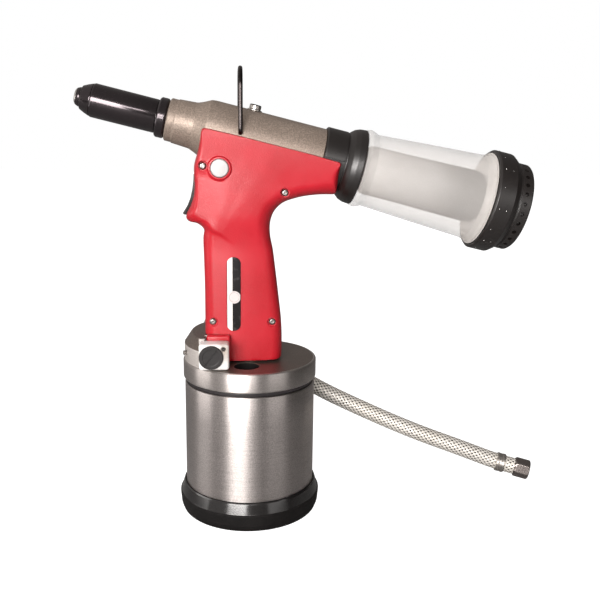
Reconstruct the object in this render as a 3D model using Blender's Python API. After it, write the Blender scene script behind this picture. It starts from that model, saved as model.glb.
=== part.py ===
"""Hydropneumatic rivet gun: a pistol-grip tool that stands on its air cylinder.

Units are metres.  The frame has +Z up, the nose towards -X, the mandrel bottle
towards +X, and its origin at the centre of the foot's underside.
"""

import bpy
import bmesh
from math import cos, sin, pi, radians, sqrt, atan2
from mathutils import Vector, Matrix

MM = 0.001
GAP = 0.3 * MM

# Base: foot, air cylinder and cap
FOOT_R = 49.2 * MM
FOOT_H = 20.9 * MM
FOOT_FLOOR = 4.0 * MM
CAN_R = 44.9 * MM
CAN_BORE_R = 42.0 * MM
CAN_Z0 = 9.2 * MM
CAN_Z1 = 93.3 * MM
CAP_R = 45.9 * MM
CAP_Z0 = 96.6 * MM
CAP_Z1 = 109.4 * MM
CAP_SPIGOT_Z0 = 90.0 * MM

# Valve housing on the cap and its square end block
HOUSING_R = 44.9 * MM
HOUSING_WALL_Z = 121.0 * MM
HOUSING_TOP_Z = 128.0 * MM
HOUSING_X1 = -13.9 * MM
HOUSING_SKIN_X = -30.8 * MM
HOUSING_SKIN_Y = 15.2 * MM
VALVE_X = -26.1 * MM
VALVE_Z = 118.6 * MM
VALVE_BORE_R = 4.5 * MM
VALVE_SPIGOT_R = 5.6 * MM
VALVE_STROKE = 4.0 * MM
BLOCK_X0 = -34.0 * MM
BLOCK_X1 = -14.4 * MM
BLOCK_Y0 = -36.8 * MM
BLOCK_Y1 = -24.4 * MM
BLOCK_Z0 = 109.7 * MM
BLOCK_Z1 = 127.0 * MM
PLUG_R = 7.9 * MM
EXHAUST_X = -2.9 * MM
EXHAUST_Y = -25.6 * MM
EXHAUST_R = 8.4 * MM

# Barrel axis: where it crosses the grip, and its nose-up tilt
BARREL_X = 12.15 * MM
BARREL_Z = 253.41 * MM
BARREL_TILT = radians(13.27)
BARREL_R = 19.2 * MM
CYL_BORE_R = 14.0 * MM
NECK_BORE_R = 9.6 * MM
DRAW_STROKE = 17.0 * MM

# Oil column and air piston
COLUMN_R = 10.0 * MM
COLUMN_FOOT_R = 13.0 * MM
PLUNGER_R = 7.0 * MM
COLUMN_Z0 = 99.0 * MM

# Grip shell
SHELL_WALL = 2.6 * MM
SHELL_SPLIT = 0.15 * MM
GRIP_HALF_W = 19.0 * MM
HEAD_HALF_W = 21.6 * MM

# Trigger
TRIGGER_PIN_X = -32.6 * MM
TRIGGER_PIN_Z = 231.6 * MM
TRIGGER_HALF_W = 6.6 * MM
STEM_Z = 220.0 * MM

# Suspension hook
HOOK_X = -6.6 * MM
HOOK_Z = 260.9 * MM
HOOK_HALF_W = 21.2 * MM
HOOK_WIRE_R = 1.45 * MM
HOOK_TOP_Z = 301.0 * MM

# Air hose
HOSE_R = 6.2 * MM
HOSE_ROUTE = (
    (-12.0, 57.0, 108.0),
    (20.0, 57.4, 88.0),
    (54.9, 56.1, 66.6),
    (92.4, 50.0, 49.3),
    (129.8, 42.3, 34.4),
    (167.1, 35.0, 21.8),
    (206.2, 26.1, 10.0),
)
HOSE_END_DIR = (0.935, -0.300, -0.190)
NUT_LENGTH = 11.4 * MM
NUT_FLATS = 13.6 * MM
NUT_TURN = radians(16.5)
CRIMP_BACK = 10.5 * MM


def clear_objects():
    for item in list(bpy.data.objects):
        bpy.data.objects.remove(item, do_unlink=True)


def material(name, colour, roughness, metallic):
    mat = bpy.data.materials.new(name)
    mat.use_nodes = True
    shader = mat.node_tree.nodes["Principled BSDF"]
    shader.inputs["Base Color"].default_value = (*colour, 1.0)
    shader.inputs["Roughness"].default_value = roughness
    shader.inputs["Metallic"].default_value = metallic
    mat.diffuse_color = (*colour, 1.0)
    return mat


STEEL = ((0.62, 0.61, 0.60), 0.32, 1.0)
DARK_STEEL = ((0.16, 0.15, 0.15), 0.4, 0.9)
BRIGHT = ((0.80, 0.80, 0.80), 0.2, 1.0)
CAST = ((0.33, 0.30, 0.27), 0.55, 0.7)
ALLOY = ((0.45, 0.42, 0.40), 0.45, 0.8)
BLACK = ((0.02, 0.02, 0.02), 0.4, 0.0)
RED = ((0.72, 0.02, 0.03), 0.4, 0.0)
RUBBER = ((0.015, 0.015, 0.015), 0.6, 0.0)
WHITE = ((0.85, 0.85, 0.85), 0.35, 0.0)
FROST = ((0.75, 0.77, 0.78), 0.3, 0.0)
BRASS = ((0.72, 0.55, 0.25), 0.35, 1.0)
BRAID = ((0.70, 0.67, 0.60), 0.45, 0.6)


def add_object(name, mesh, look, parent=None, smooth=True):
    obj = bpy.data.objects.new(name, mesh)
    bpy.context.scene.collection.objects.link(obj)
    if look is not None:
        obj.data.materials.append(material(name, *look))
    if smooth:
        obj.data.shade_smooth()
        obj.data.set_sharp_from_angle(angle=radians(35))
    if parent is not None:
        obj.parent = parent
    return obj


def mesh_from(bm, name):
    bmesh.ops.recalc_face_normals(bm, faces=bm.faces[:])
    mesh = bpy.data.meshes.new(name)
    bm.to_mesh(mesh)
    bm.free()
    return mesh


def empty(name, location, rotation=(0.0, 0.0, 0.0)):
    obj = bpy.data.objects.new(name, None)
    obj.empty_display_size = 0.01
    bpy.context.scene.collection.objects.link(obj)
    obj.location = location
    obj.rotation_euler = rotation
    return obj


def lathe_mesh(name, rows, steps, phase=0.0):
    """Turn a profile of (radius, height) rows about +Z.

    A profile that starts and ends on the axis gives a plug; one that stays off
    the axis is closed from its last row to its first and gives a ring.
    """
    bm = bmesh.new()
    rows = list(rows)
    flat_start = rows[0][0] < 1e-7 and abs(rows[0][1] - rows[1][1]) < 1e-7
    flat_end = rows[-1][0] < 1e-7 and abs(rows[-1][1] - rows[-2][1]) < 1e-7
    if flat_start:
        rows = rows[1:]
    if flat_end:
        rows = rows[:-1]
    rings = []
    for radius, height in rows:
        if radius < 1e-7:
            rings.append([bm.verts.new((0.0, 0.0, height))])
            continue
        ring = []
        for step in range(steps):
            angle = 2.0 * pi * step / steps + phase
            ring.append(bm.verts.new((radius * cos(angle), radius * sin(angle), height)))
        rings.append(ring)
    if flat_start:
        bm.faces.new(list(reversed(rings[0])))
    if flat_end:
        bm.faces.new(rings[-1])
    pairs = list(zip(rings, rings[1:]))
    if not (flat_start or flat_end) and len(rings[0]) > 1 and len(rings[-1]) > 1:
        pairs.append((rings[-1], rings[0]))
    for low, high in pairs:
        for step in range(steps):
            nxt = (step + 1) % steps
            if len(low) == 1:
                bm.faces.new((low[0], high[nxt], high[step]))
            elif len(high) == 1:
                bm.faces.new((low[step], low[nxt], high[0]))
            else:
                bm.faces.new((low[step], low[nxt], high[nxt], high[step]))
    return mesh_from(bm, name)


def lathe(name, rows, look, parent=None, steps=32, location=None, rotation=None):
    obj = add_object(name, lathe_mesh(name, rows, steps), look, parent)
    if location is not None:
        obj.location = location
    if rotation is not None:
        obj.rotation_euler = rotation
    return obj


def prism_mesh(name, outline, low, high, axis):
    """Extrude a closed outline of (a, b) points between two heights on an axis."""
    bm = bmesh.new()
    places = {
        "Y": lambda a, b, h: (a, h, b),
        "Z": lambda a, b, h: (a, b, h),
        "X": lambda a, b, h: (h, a, b),
    }
    place = places[axis]
    lower = [bm.verts.new(place(a, b, low)) for a, b in outline]
    upper = [bm.verts.new(place(a, b, high)) for a, b in outline]
    bm.faces.new(lower)
    bm.faces.new(list(reversed(upper)))
    count = len(outline)
    for i in range(count):
        j = (i + 1) % count
        bm.faces.new((lower[j], lower[i], upper[i], upper[j]))
    return mesh_from(bm, name)


def box_mesh(name, low, high):
    outline = ((low[0], low[1]), (high[0], low[1]), (high[0], high[1]), (low[0], high[1]))
    return prism_mesh(name, outline, low[2], high[2], "Z")


def apply_modifiers(obj):
    graph = bpy.context.evaluated_depsgraph_get()
    graph.update()
    baked = bpy.data.meshes.new_from_object(obj.evaluated_get(graph), depsgraph=graph)
    old = obj.data
    obj.modifiers.clear()
    obj.data = baked
    bpy.data.meshes.remove(old)


def bevel(obj, width, segments=2, angle=50):
    mod = obj.modifiers.new("bevel", "BEVEL")
    mod.width = width
    mod.segments = segments
    mod.limit_method = "ANGLE"
    mod.angle_limit = radians(angle)
    apply_modifiers(obj)


def combine(obj, others, operation):
    """Boolean the helper meshes into obj, then delete the helpers."""
    bpy.context.view_layer.update()
    for other in others:
        mod = obj.modifiers.new("combine", "BOOLEAN")
        mod.operation = operation
        mod.solver = "EXACT"
        mod.object = other
        other.hide_render = True
        other.display_type = "WIRE"
        apply_modifiers(obj)
    for other in others:
        bpy.data.objects.remove(other, do_unlink=True)


def refresh(obj, look):
    """Weld stray vertices, restore the single material and the shading."""
    bm = bmesh.new()
    bm.from_mesh(obj.data)
    bmesh.ops.remove_doubles(bm, verts=bm.verts[:], dist=1e-6)
    bmesh.ops.dissolve_degenerate(bm, edges=bm.edges[:], dist=1e-6)
    bm.to_mesh(obj.data)
    bm.free()
    obj.data.materials.clear()
    obj.data.materials.append(material(obj.name, *look))
    obj.data.shade_smooth()
    obj.data.set_sharp_from_angle(angle=radians(35))


def helper(mesh):
    return add_object("helper", mesh, None, None, smooth=False)


def helper_box(low, high):
    return helper(box_mesh("helper", low, high))


def helper_cylinder(radius, start, end, steps=24, cone_radius=None):
    """A cylinder, or a cone, between two points."""
    start = Vector(start)
    end = Vector(end)
    length = (end - start).length
    last = radius if cone_radius is None else cone_radius
    rows = ((0.0, 0.0), (radius, 0.0), (last, length), (0.0, length))
    obj = helper(lathe_mesh("helper", rows, steps, 0.037))
    turn = Vector((0.0, 0.0, 1.0)).rotation_difference(end - start)
    obj.rotation_mode = "QUATERNION"
    obj.rotation_quaternion = turn
    obj.location = start
    return obj


def barrel_point(s, h=0.0, y=0.0):
    """World position at distance s along the barrel axis, h above it."""
    x = BARREL_X + s * cos(BARREL_TILT) + h * sin(BARREL_TILT)
    z = BARREL_Z - s * sin(BARREL_TILT) + h * cos(BARREL_TILT)
    return Vector((x, y, z))


def smooth_curve(points, per_span):
    """Catmull-Rom points through the given corners, end points kept."""
    pts = [Vector(p) for p in points]
    pts.insert(0, pts[0] * 2 - pts[1])
    pts.append(pts[-1] * 2 - pts[-2])
    result = []
    for i in range(1, len(pts) - 2):
        for k in range(per_span):
            t = k / per_span
            a = pts[i] * 2
            b = (pts[i + 1] - pts[i - 1]) * t
            c = (pts[i - 1] * 2 - pts[i] * 5 + pts[i + 1] * 4 - pts[i + 2]) * t * t
            d = (pts[i] * 3 - pts[i - 1] - pts[i + 1] * 3 + pts[i + 2]) * t * t * t
            result.append((a + b + c + d) * 0.5)
    result.append(pts[-2].copy())
    return result


def tube_mesh(name, points, radius, steps, closed=False):
    """A round bar along a path, with flat ends, on frames carried along it."""
    bm = bmesh.new()
    count = len(points)
    tangents = []
    for i in range(count):
        if closed:
            step = points[(i + 1) % count] - points[i - 1]
        else:
            step = points[min(i + 1, count - 1)] - points[max(i - 1, 0)]
        tangents.append(step.normalized())
    side = tangents[0].orthogonal().normalized()
    rings = []
    for i in range(count):
        side = (side - tangents[i] * side.dot(tangents[i])).normalized()
        other = tangents[i].cross(side)
        ring = []
        for k in range(steps):
            angle = 2.0 * pi * k / steps
            ring.append(bm.verts.new(points[i] + (side * cos(angle) + other * sin(angle)) * radius))
        rings.append(ring)
    for low, high in zip(rings, rings[1:]):
        for k in range(steps):
            nxt = (k + 1) % steps
            bm.faces.new((low[k], low[nxt], high[nxt], high[k]))
    bm.faces.new(list(reversed(rings[0])))
    bm.faces.new(rings[-1])
    return mesh_from(bm, name)


def coil_mesh(name, radius, wire, start, end, turns, steps_per_turn, steps):
    """A compression spring along +Z with its axis on the origin."""
    points = []
    total = int(turns * steps_per_turn)
    low = start + wire
    high = end - wire
    for i in range(total + 1):
        angle = 2.0 * pi * i / steps_per_turn
        z = low + (high - low) * i / total
        points.append(Vector((radius * cos(angle), radius * sin(angle), z)))
    return tube_mesh(name, points, wire, steps)


# ---------------------------------------------------------------- base

def make_foot():
    rows = (
        (0.0, 0.0), (45.6 * MM, 0.0), (47.2 * MM, 1.2 * MM), (48.6 * MM, 5.0 * MM),
        (FOOT_R, 11.6 * MM), (FOOT_R, 12.8 * MM), (48.4 * MM, 13.4 * MM), (46.3 * MM, FOOT_H - 0.5 * MM),
        (45.9 * MM, FOOT_H), (CAN_R + GAP, FOOT_H), (CAN_R + GAP, FOOT_FLOOR), (0.0, FOOT_FLOOR),
    )
    return lathe("rubber_foot", rows, RUBBER, steps=40)


def make_can():
    rows = (
        (CAN_R, CAN_Z0), (CAN_R, CAN_Z1 - 0.5 * MM), (CAN_R - 0.5 * MM, CAN_Z1),
        (CAN_BORE_R, CAN_Z1), (CAN_BORE_R, CAN_Z0),
    )
    return lathe("can_cylinder", rows, STEEL, steps=40)


def make_base_plate():
    rows = (
        (0.0, FOOT_FLOOR + GAP), (CAN_R - 0.2 * MM, FOOT_FLOOR + GAP), (CAN_R - 0.2 * MM, CAN_Z0 - GAP),
        (CAN_BORE_R - GAP, CAN_Z0 - GAP), (CAN_BORE_R - GAP, 13.0 * MM), (36.0 * MM, 13.0 * MM),
        (34.0 * MM, 10.0 * MM), (0.0, 10.0 * MM),
    )
    return lathe("base_plate", rows, ALLOY, steps=32)


def make_cap_gasket():
    rows = (
        (43.9 * MM, CAN_Z1 + GAP), (43.9 * MM, CAP_Z0 - GAP),
        (CAN_BORE_R, CAP_Z0 - GAP), (CAN_BORE_R, CAN_Z1 + GAP),
    )
    return lathe("cap_gasket", rows, RUBBER, steps=40)


def make_cap():
    rows = (
        (13.3 * MM, CAP_SPIGOT_Z0), (CAN_BORE_R - GAP, CAP_SPIGOT_Z0), (CAN_BORE_R - GAP, CAP_Z0),
        (CAP_R - 0.4 * MM, CAP_Z0), (CAP_R, CAP_Z0 + 0.6 * MM), (CAP_R, CAP_Z1 - 1.0 * MM),
        (CAP_R - 1.0 * MM, CAP_Z1), (13.3 * MM, CAP_Z1),
    )
    cap = lathe("top_cap", rows, ALLOY, steps=40)
    housing_rows = (
        (0.0, CAP_Z1 - 4.0 * MM), (HOUSING_R, CAP_Z1 - 4.0 * MM), (HOUSING_R, HOUSING_WALL_Z),
        (HOUSING_R - 5.0 * MM, HOUSING_TOP_Z), (0.0, HOUSING_TOP_Z),
    )
    housing = helper(lathe_mesh("housing", housing_rows, 40))
    low_z = CAP_Z1 - 6.0 * MM
    high_z = HOUSING_TOP_Z + 2.0 * MM
    far = 60.0 * MM
    skin = HOUSING_SKIN_Y
    trims = [
        helper_box((HOUSING_X1, -far, low_z), (far, far, high_z)),
        helper_box((HOUSING_SKIN_X, skin, low_z), (far, far, high_z)),
        helper_box((HOUSING_SKIN_X, -far, low_z), (far, -skin, high_z)),
        helper_box((-far, 34.0 * MM, low_z), (far, far, high_z)),
    ]
    combine(housing, trims, "DIFFERENCE")
    combine(cap, [housing], "UNION")
    block_clear = helper_box(
        (BLOCK_X0 - GAP, -far, CAP_Z1), (BLOCK_X1 + GAP, BLOCK_Y1 + GAP, high_z)
    )
    clear_r = VALVE_SPIGOT_R + GAP
    near = helper_cylinder(clear_r, (VALVE_X, -far, VALVE_Z), (VALVE_X, -skin, VALVE_Z))
    away = helper_cylinder(clear_r, (VALVE_X, skin, VALVE_Z), (VALVE_X, far, VALVE_Z))
    bore = helper_cylinder(VALVE_BORE_R, (VALVE_X, -20.0 * MM, VALVE_Z), (VALVE_X, 20.0 * MM, VALVE_Z))
    exhaust = helper_cylinder(
        EXHAUST_R, (EXHAUST_X, EXHAUST_Y, 100.0 * MM), (EXHAUST_X, EXHAUST_Y, 120.0 * MM), steps=32
    )
    side_hole = helper_cylinder(
        2.0 * MM, (-41.5 * MM, -12.0 * MM, 115.5 * MM), (-52.0 * MM, -15.0 * MM, 115.5 * MM), steps=16
    )
    combine(cap, [block_clear, near, away, bore, exhaust, side_hole], "DIFFERENCE")
    refresh(cap, ALLOY)
    return cap


def make_plug_screw(name, location, direction, head_r, head_h, shank_r, shank_l, look, slot=None):
    """A round-headed screw whose axis points along direction, head outwards."""
    rows = [(0.0, -shank_l), (shank_r, -shank_l), (shank_r, 0.0), (head_r, 0.0)]
    rows += [(head_r, head_h * 0.6), (head_r * 0.82, head_h), (0.0, head_h)]
    obj = lathe(name, rows, look, steps=16)
    if slot is not None:
        width, depth, turn = slot
        blade = helper_box(
            (-head_r * 1.2, -width / 2, head_h - depth), (head_r * 1.2, width / 2, head_h + 1.0 * MM)
        )
        blade.rotation_euler = (0.0, 0.0, turn)
        combine(obj, [blade], "DIFFERENCE")
        refresh(obj, look)
    obj.rotation_mode = "QUATERNION"
    obj.rotation_quaternion = Vector((0.0, 0.0, 1.0)).rotation_difference(Vector(direction))
    obj.location = location
    return obj


def make_cap_side_screw():
    start = Vector((-41.5, -12.0, 115.5)) * MM
    out = (Vector((-52.0, -15.0, 115.5)) * MM - start).normalized()
    seat = start + out * 3.75 * MM
    return make_plug_screw(
        "cap_side_screw", seat, out, 2.3 * MM, 1.5 * MM, 1.6 * MM, 3.2 * MM, BRIGHT
    )


def make_silencer():
    rows = ((0.0, 0.0), (8.0 * MM, 0.0), (8.0 * MM, 3.6 * MM), (0.0, 3.6 * MM))
    disc = lathe("exhaust_silencer", rows, BRASS, steps=24)
    holes = []
    for k in range(6):
        angle = 2.0 * pi * k / 6 + 0.07
        x = 4.8 * MM * cos(angle)
        y = 4.8 * MM * sin(angle)
        holes.append(helper_cylinder(1.1 * MM, (x, y, -1.0 * MM), (x, y, 6.0 * MM), steps=8))
    combine(disc, holes, "DIFFERENCE")
    refresh(disc, BRASS)
    disc.location = (EXHAUST_X, EXHAUST_Y, 100.3 * MM)
    return disc


def make_valve_block():
    block = add_object(
        "valve_block",
        box_mesh("valve_block", (BLOCK_X0, BLOCK_Y0, BLOCK_Z0), (BLOCK_X1, BLOCK_Y1, BLOCK_Z1)),
        BRIGHT,
    )
    bevel(block, 1.4 * MM, 2)
    spigot = helper_cylinder(
        VALVE_SPIGOT_R, (VALVE_X, BLOCK_Y1 - 2.0 * MM, VALVE_Z), (VALVE_X, -HOUSING_SKIN_Y - GAP, VALVE_Z)
    )
    combine(block, [spigot], "UNION")
    bore = helper_cylinder(VALVE_BORE_R, (VALVE_X, -33.0 * MM, VALVE_Z), (VALVE_X, 0.0, VALVE_Z))
    seat = helper_cylinder(
        6.5 * MM, (VALVE_X, BLOCK_Y0 - 2.0 * MM, VALVE_Z), (VALVE_X, -32.6 * MM, VALVE_Z)
    )
    screw = helper_cylinder(
        1.5 * MM, (-18.1 * MM, BLOCK_Y0 - 2.0 * MM, 123.9 * MM), (-18.1 * MM, -33.0 * MM, 123.9 * MM), 12
    )
    combine(block, [bore, seat, screw], "DIFFERENCE")
    refresh(block, BRIGHT)
    return block


def make_valve_plug():
    place = Vector((VALVE_X, BLOCK_Y0 - GAP, VALVE_Z))
    plug = make_plug_screw(
        "valve_plug", place, (0.0, -1.0, 0.0), PLUG_R, 1.3 * MM, 6.2 * MM, 3.9 * MM,
        BLACK, slot=(0.9 * MM, 0.7 * MM, radians(-48)),
    )
    return plug


def make_valve_block_screw():
    place = Vector((-18.1 * MM, BLOCK_Y0 + 0.5 * MM, 123.9 * MM))
    return make_plug_screw(
        "valve_block_screw", place, (0.0, -1.0, 0.0), 1.2 * MM, 0.8 * MM, 1.1 * MM, 2.4 * MM, DARK_STEEL
    )


def make_valve_spool():
    r = VALVE_BORE_R - 0.14 * MM
    w = 2.6 * MM
    rows = (
        (0.0, -12.0 * MM), (r, -12.0 * MM), (r, -7.0 * MM), (w, -6.4 * MM), (w, -2.6 * MM),
        (r, -2.0 * MM), (r, 2.0 * MM), (w, 2.6 * MM), (w, 6.4 * MM), (r, 7.0 * MM),
        (r, 12.0 * MM), (0.0, 12.0 * MM),
    )
    place = (VALVE_X, -14.0 * MM, VALVE_Z)
    return lathe("valve_spool", rows, BRASS, steps=24, location=place, rotation=(pi / 2, 0.0, 0.0))


# ------------------------------------------------------------- casting

def make_head_casting(barrel):
    outer = (
        (-67.4, 13.0), (-66.9, 13.8), (-62.5, 13.8), (-62.0, 14.2), (-50.5, 15.0), (-46.5, 16.6),
        (-42.0, 18.9), (-39.0, BARREL_R / MM), (35.0, BARREL_R / MM), (35.0, 17.6), (60.5, 17.6),
    )
    rows = [(NECK_BORE_R, -67.4 * MM)]
    rows += [(r * MM, s * MM) for s, r in outer]
    rows += [(CYL_BORE_R, 60.5 * MM), (CYL_BORE_R, -40.0 * MM), (NECK_BORE_R, -40.0 * MM)]
    body = lathe("head_casting", rows, CAST, steps=32)
    body.rotation_euler = (0.0, pi / 2 + BARREL_TILT, 0.0)
    body.location = (BARREL_X, 0.0, BARREL_Z)
    top = barrel_point(0.0)
    column = helper_cylinder(COLUMN_R, (0.0, 0.0, COLUMN_Z0), (0.0, 0.0, top.z - 9.0 * MM), steps=28)
    column_foot = helper_cylinder(COLUMN_FOOT_R, (0.0, 0.0, COLUMN_Z0), (0.0, 0.0, 114.0 * MM), steps=32)
    web = helper(prism_mesh("web", (
        (-24.0 * MM, 226.0 * MM), (22.0 * MM, 226.0 * MM), (34.0 * MM, 236.0 * MM), (-24.0 * MM, 247.0 * MM),
    ), -5.0 * MM, 5.0 * MM, "Y"))
    guide = helper_cylinder(5.0 * MM, (-24.0 * MM, 0.0, STEM_Z), (0.0, 0.0, STEM_Z), steps=20)
    combine(body, [column_foot, column, web, guide], "UNION")
    core = helper_cylinder(CYL_BORE_R, barrel_point(-39.9 * MM), barrel_point(70.0 * MM), steps=32)
    oil = helper_cylinder(
        PLUNGER_R + 0.2 * MM, (0.0, 0.0, COLUMN_Z0 - 5.0 * MM), (0.0, 0.0, 214.0 * MM), steps=32
    )
    port = helper_cylinder(3.0 * MM, (-8.5 * MM, 0.0, 205.0 * MM), barrel_point(-24.0 * MM), steps=12)
    stem = helper_cylinder(1.7 * MM, (-30.0 * MM, 0.0, STEM_Z), (-13.6 * MM, 0.0, STEM_Z), steps=12)
    filler = helper_cylinder(
        2.6 * MM, barrel_point(-14.0 * MM, 12.0 * MM), barrel_point(-14.0 * MM, 30.0 * MM), steps=16
    )
    flat = helper_cylinder(
        5.2 * MM, barrel_point(-14.0 * MM, BARREL_R - 0.6 * MM), barrel_point(-14.0 * MM, 30.0 * MM), 24
    )
    eye_near = helper_cylinder(
        1.55 * MM, (HOOK_X, -30.0 * MM, HOOK_Z), (HOOK_X, -15.8 * MM, HOOK_Z), steps=12
    )
    eye_far = helper_cylinder(1.55 * MM, (HOOK_X, 15.8 * MM, HOOK_Z), (HOOK_X, 30.0 * MM, HOOK_Z), 12)
    combine(body, [core, oil, stem, filler, flat, eye_near, eye_far], "DIFFERENCE")
    combine(body, [port], "DIFFERENCE")
    refresh(body, CAST)
    return body


def make_plunger_gland():
    rows = (
        (PLUNGER_R + 0.2 * MM, 91.5 * MM), (13.0 * MM, 91.5 * MM),
        (13.0 * MM, COLUMN_Z0 - GAP), (PLUNGER_R + 0.2 * MM, COLUMN_Z0 - GAP),
    )
    return lathe("plunger_gland", rows, BRASS, steps=32)


# -------------------------------------------------------------- barrel

def make_nose(barrel):
    rows = (
        (1.7, -127.0), (4.0, -127.0), (5.3, -126.1), (6.1, -124.4), (6.3, -123.4), (7.6, -122.8),
        (9.2, -119.5), (10.3, -116.7), (10.3, -116.3), (8.9, -116.3), (8.9, -112.0), (6.4, -112.0),
        (3.4, -110.5), (1.7, -110.5),
    )
    nose = lathe("nosepiece", [(r * MM, s * MM) for r, s in rows], BRIGHT, barrel, 24)
    sleeve_rows = (
        (9.2, -116.0), (10.5, -116.0), (10.8, -115.5), (10.8, -74.3), (9.2, -74.3),
    )
    lathe("nose_sleeve", [(r * MM, s * MM) for r, s in sleeve_rows], BLACK, barrel, 24)
    ring_rows = (
        (9.5, -74.0), (12.2, -74.0), (12.9, -73.3), (12.9, -68.4), (12.2, -67.7), (9.5, -67.7),
    )
    lathe("sleeve_lock_ring", [(r * MM, s * MM) for r, s in ring_rows], DARK_STEEL, barrel, 24)
    return nose


def make_draw_train(barrel):
    piston = (
        (3.2, -83.0), (7.0, -83.0), (7.0, -76.0), (8.2, -76.0), (8.2, -37.0), (13.84, -37.0),
        (13.84, -33.0), (12.4, -33.0), (12.4, -29.0), (13.84, -29.0), (13.84, -24.0), (6.0, -24.0),
        (6.0, 64.0), (3.2, 64.0),
    )
    lathe("draw_piston", [(r * MM, s * MM) for r, s in piston], STEEL, barrel, 24)
    seal = ((12.55, -32.8), (13.78, -32.8), (13.78, -29.2), (12.55, -29.2))
    lathe("draw_piston_seal", [(r * MM, s * MM) for r, s in seal], RUBBER, barrel, 24)
    case = (
        (4.6, -109.6), (8.4, -109.6), (8.8, -108.8), (8.8, -76.3), (7.3, -76.3), (7.3, -92.0),
        (7.3, -95.8),
    )
    lathe("jaw_case", [(r * MM, s * MM) for r, s in case], DARK_STEEL, barrel, 24)
    pusher = (
        (2.6, -94.6), (6.6, -94.6), (6.6, -91.4), (4.0, -91.4), (4.0, -86.6), (2.6, -86.6),
    )
    lathe("jaw_pusher", [(r * MM, s * MM) for r, s in pusher], STEEL, barrel, 24)
    coil = coil_mesh("pusher_spring", 5.4 * MM, 0.5 * MM, -91.2 * MM, -83.3 * MM, 3, 10, 5)
    add_object("pusher_spring", coil, STEEL, barrel)
    coil = coil_mesh("return_spring", 9.6 * MM, 1.2 * MM, -23.8 * MM, 41.8 * MM, 7, 12, 5)
    add_object("return_spring", coil, STEEL, barrel)
    gland = ((6.15, 42.0), (13.6, 42.0), (13.6, 54.0), (6.15, 54.0))
    lathe("rear_gland", [(r * MM, s * MM) for r, s in gland], BRASS, barrel, 24)


def make_jaw(index, barrel):
    """One of three tapered, toothed segments that close on the mandrel."""
    bm = bmesh.new()
    middle = 2.0 * pi * index / 3
    half = radians(48)
    steps = 6
    rows = ((-109.0, 1.75, 4.15), (-95.0, 1.75, 6.89))
    rings = []
    for s, inner, outer in rows:
        ring = []
        for k in range(steps + 1):
            angle = middle - half + 2.0 * half * k / steps
            ring.append(bm.verts.new((outer * MM * cos(angle), outer * MM * sin(angle), s * MM)))
        for k in range(steps + 1):
            angle = middle + half - 2.0 * half * k / steps
            ring.append(bm.verts.new((inner * MM * cos(angle), inner * MM * sin(angle), s * MM)))
        rings.append(ring)
    low, high = rings
    count = len(low)
    for k in range(count):
        nxt = (k + 1) % count
        bm.faces.new((low[k], low[nxt], high[nxt], high[k]))
    for ring in rings:
        for k in range(steps):
            bm.faces.new((ring[k], ring[k + 1], ring[count - 2 - k], ring[count - 1 - k]))
    name = "jaw_" + str(index + 1)
    return add_object(name, mesh_from(bm, name), DARK_STEEL, barrel)


def make_rear_collar(barrel):
    """Its front half steps down flush with the barrel where the shell wraps it."""
    rows = (
        (17.9, 35.3), (20.6, 35.3), (21.0, 35.8), (21.0, 49.6), (20.6, 50.4), (22.6, 52.2),
        (24.2, 55.0), (24.9, 58.6), (25.0, 61.6), (17.9, 61.6),
    )
    collar = lathe("rear_collar", [(r * MM, s * MM) for r, s in rows], BLACK, steps=32)
    out = 30.0 * MM
    band_rows = ((BARREL_R, 30.0 * MM), (out, 30.0 * MM), (out, 50.4 * MM), (BARREL_R, 50.4 * MM))
    band = helper(lathe_mesh("band", band_rows, 32, 0.02))
    above = helper_box((-60.0 * MM, -60.0 * MM, 0.0), (-1.5 * MM, 60.0 * MM, 90.0 * MM))
    combine(band, [above], "DIFFERENCE")
    combine(collar, [band], "DIFFERENCE")
    refresh(collar, BLACK)
    collar.parent = barrel


def make_collector(bottle_frame):
    bottle = (
        (22.4, 62.0), (26.0, 62.0), (26.0, 66.0), (24.1, 68.2), (24.3, 72.0), (28.9, 141.0),
        (29.6, 143.5), (31.7, 147.6), (31.7, 148.6), (29.6, 148.6), (27.0, 141.4), (22.4, 72.0),
    )
    lathe("collector_bottle", [(r * MM, s * MM) for r, s in bottle], FROST, bottle_frame, 32)
    liner = (
        (15.6, 64.6), (18.0, 64.6), (17.4, 68.0), (17.4, 141.0), (15.0, 145.0), (13.2, 145.0),
        (15.6, 140.0),
    )
    lathe("collector_liner", [(r * MM, s * MM) for r, s in liner], DARK_STEEL, bottle_frame, 32)
    cap = (
        (0.0, 160.0), (27.6, 160.0), (29.0, 158.6), (29.0, 148.9), (33.2, 148.9), (34.0, 149.9),
        (34.0, 161.2), (32.8, 162.6), (31.4, 164.6), (29.7, 165.6), (29.7, 174.0), (29.0, 174.7),
        (26.4, 174.7), (25.6, 173.6), (25.6, 165.0), (0.0, 165.0),
    )
    turned = lathe("collector_cap", [(r * MM, s * MM) for r, s in cap], BLACK, steps=36)
    holes = []
    count = 28
    for k in range(count):
        angle = 2.0 * pi * (k + 0.5) / count
        inner = Vector((24.0 * MM * cos(angle), 24.0 * MM * sin(angle), 169.8 * MM))
        outer = Vector((31.5 * MM * cos(angle), 31.5 * MM * sin(angle), 169.8 * MM))
        holes.append(helper_cylinder(1.4 * MM, inner, outer, steps=6))
    combine(turned, holes, "DIFFERENCE")
    refresh(turned, BLACK)
    turned.parent = bottle_frame
    pad = ((0.0, 150.0), (25.8, 150.0), (25.8, 159.7), (0.0, 159.7))
    lathe("air_diffuser", [(r * MM, s * MM) for r, s in pad], WHITE, bottle_frame, 32)


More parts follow.
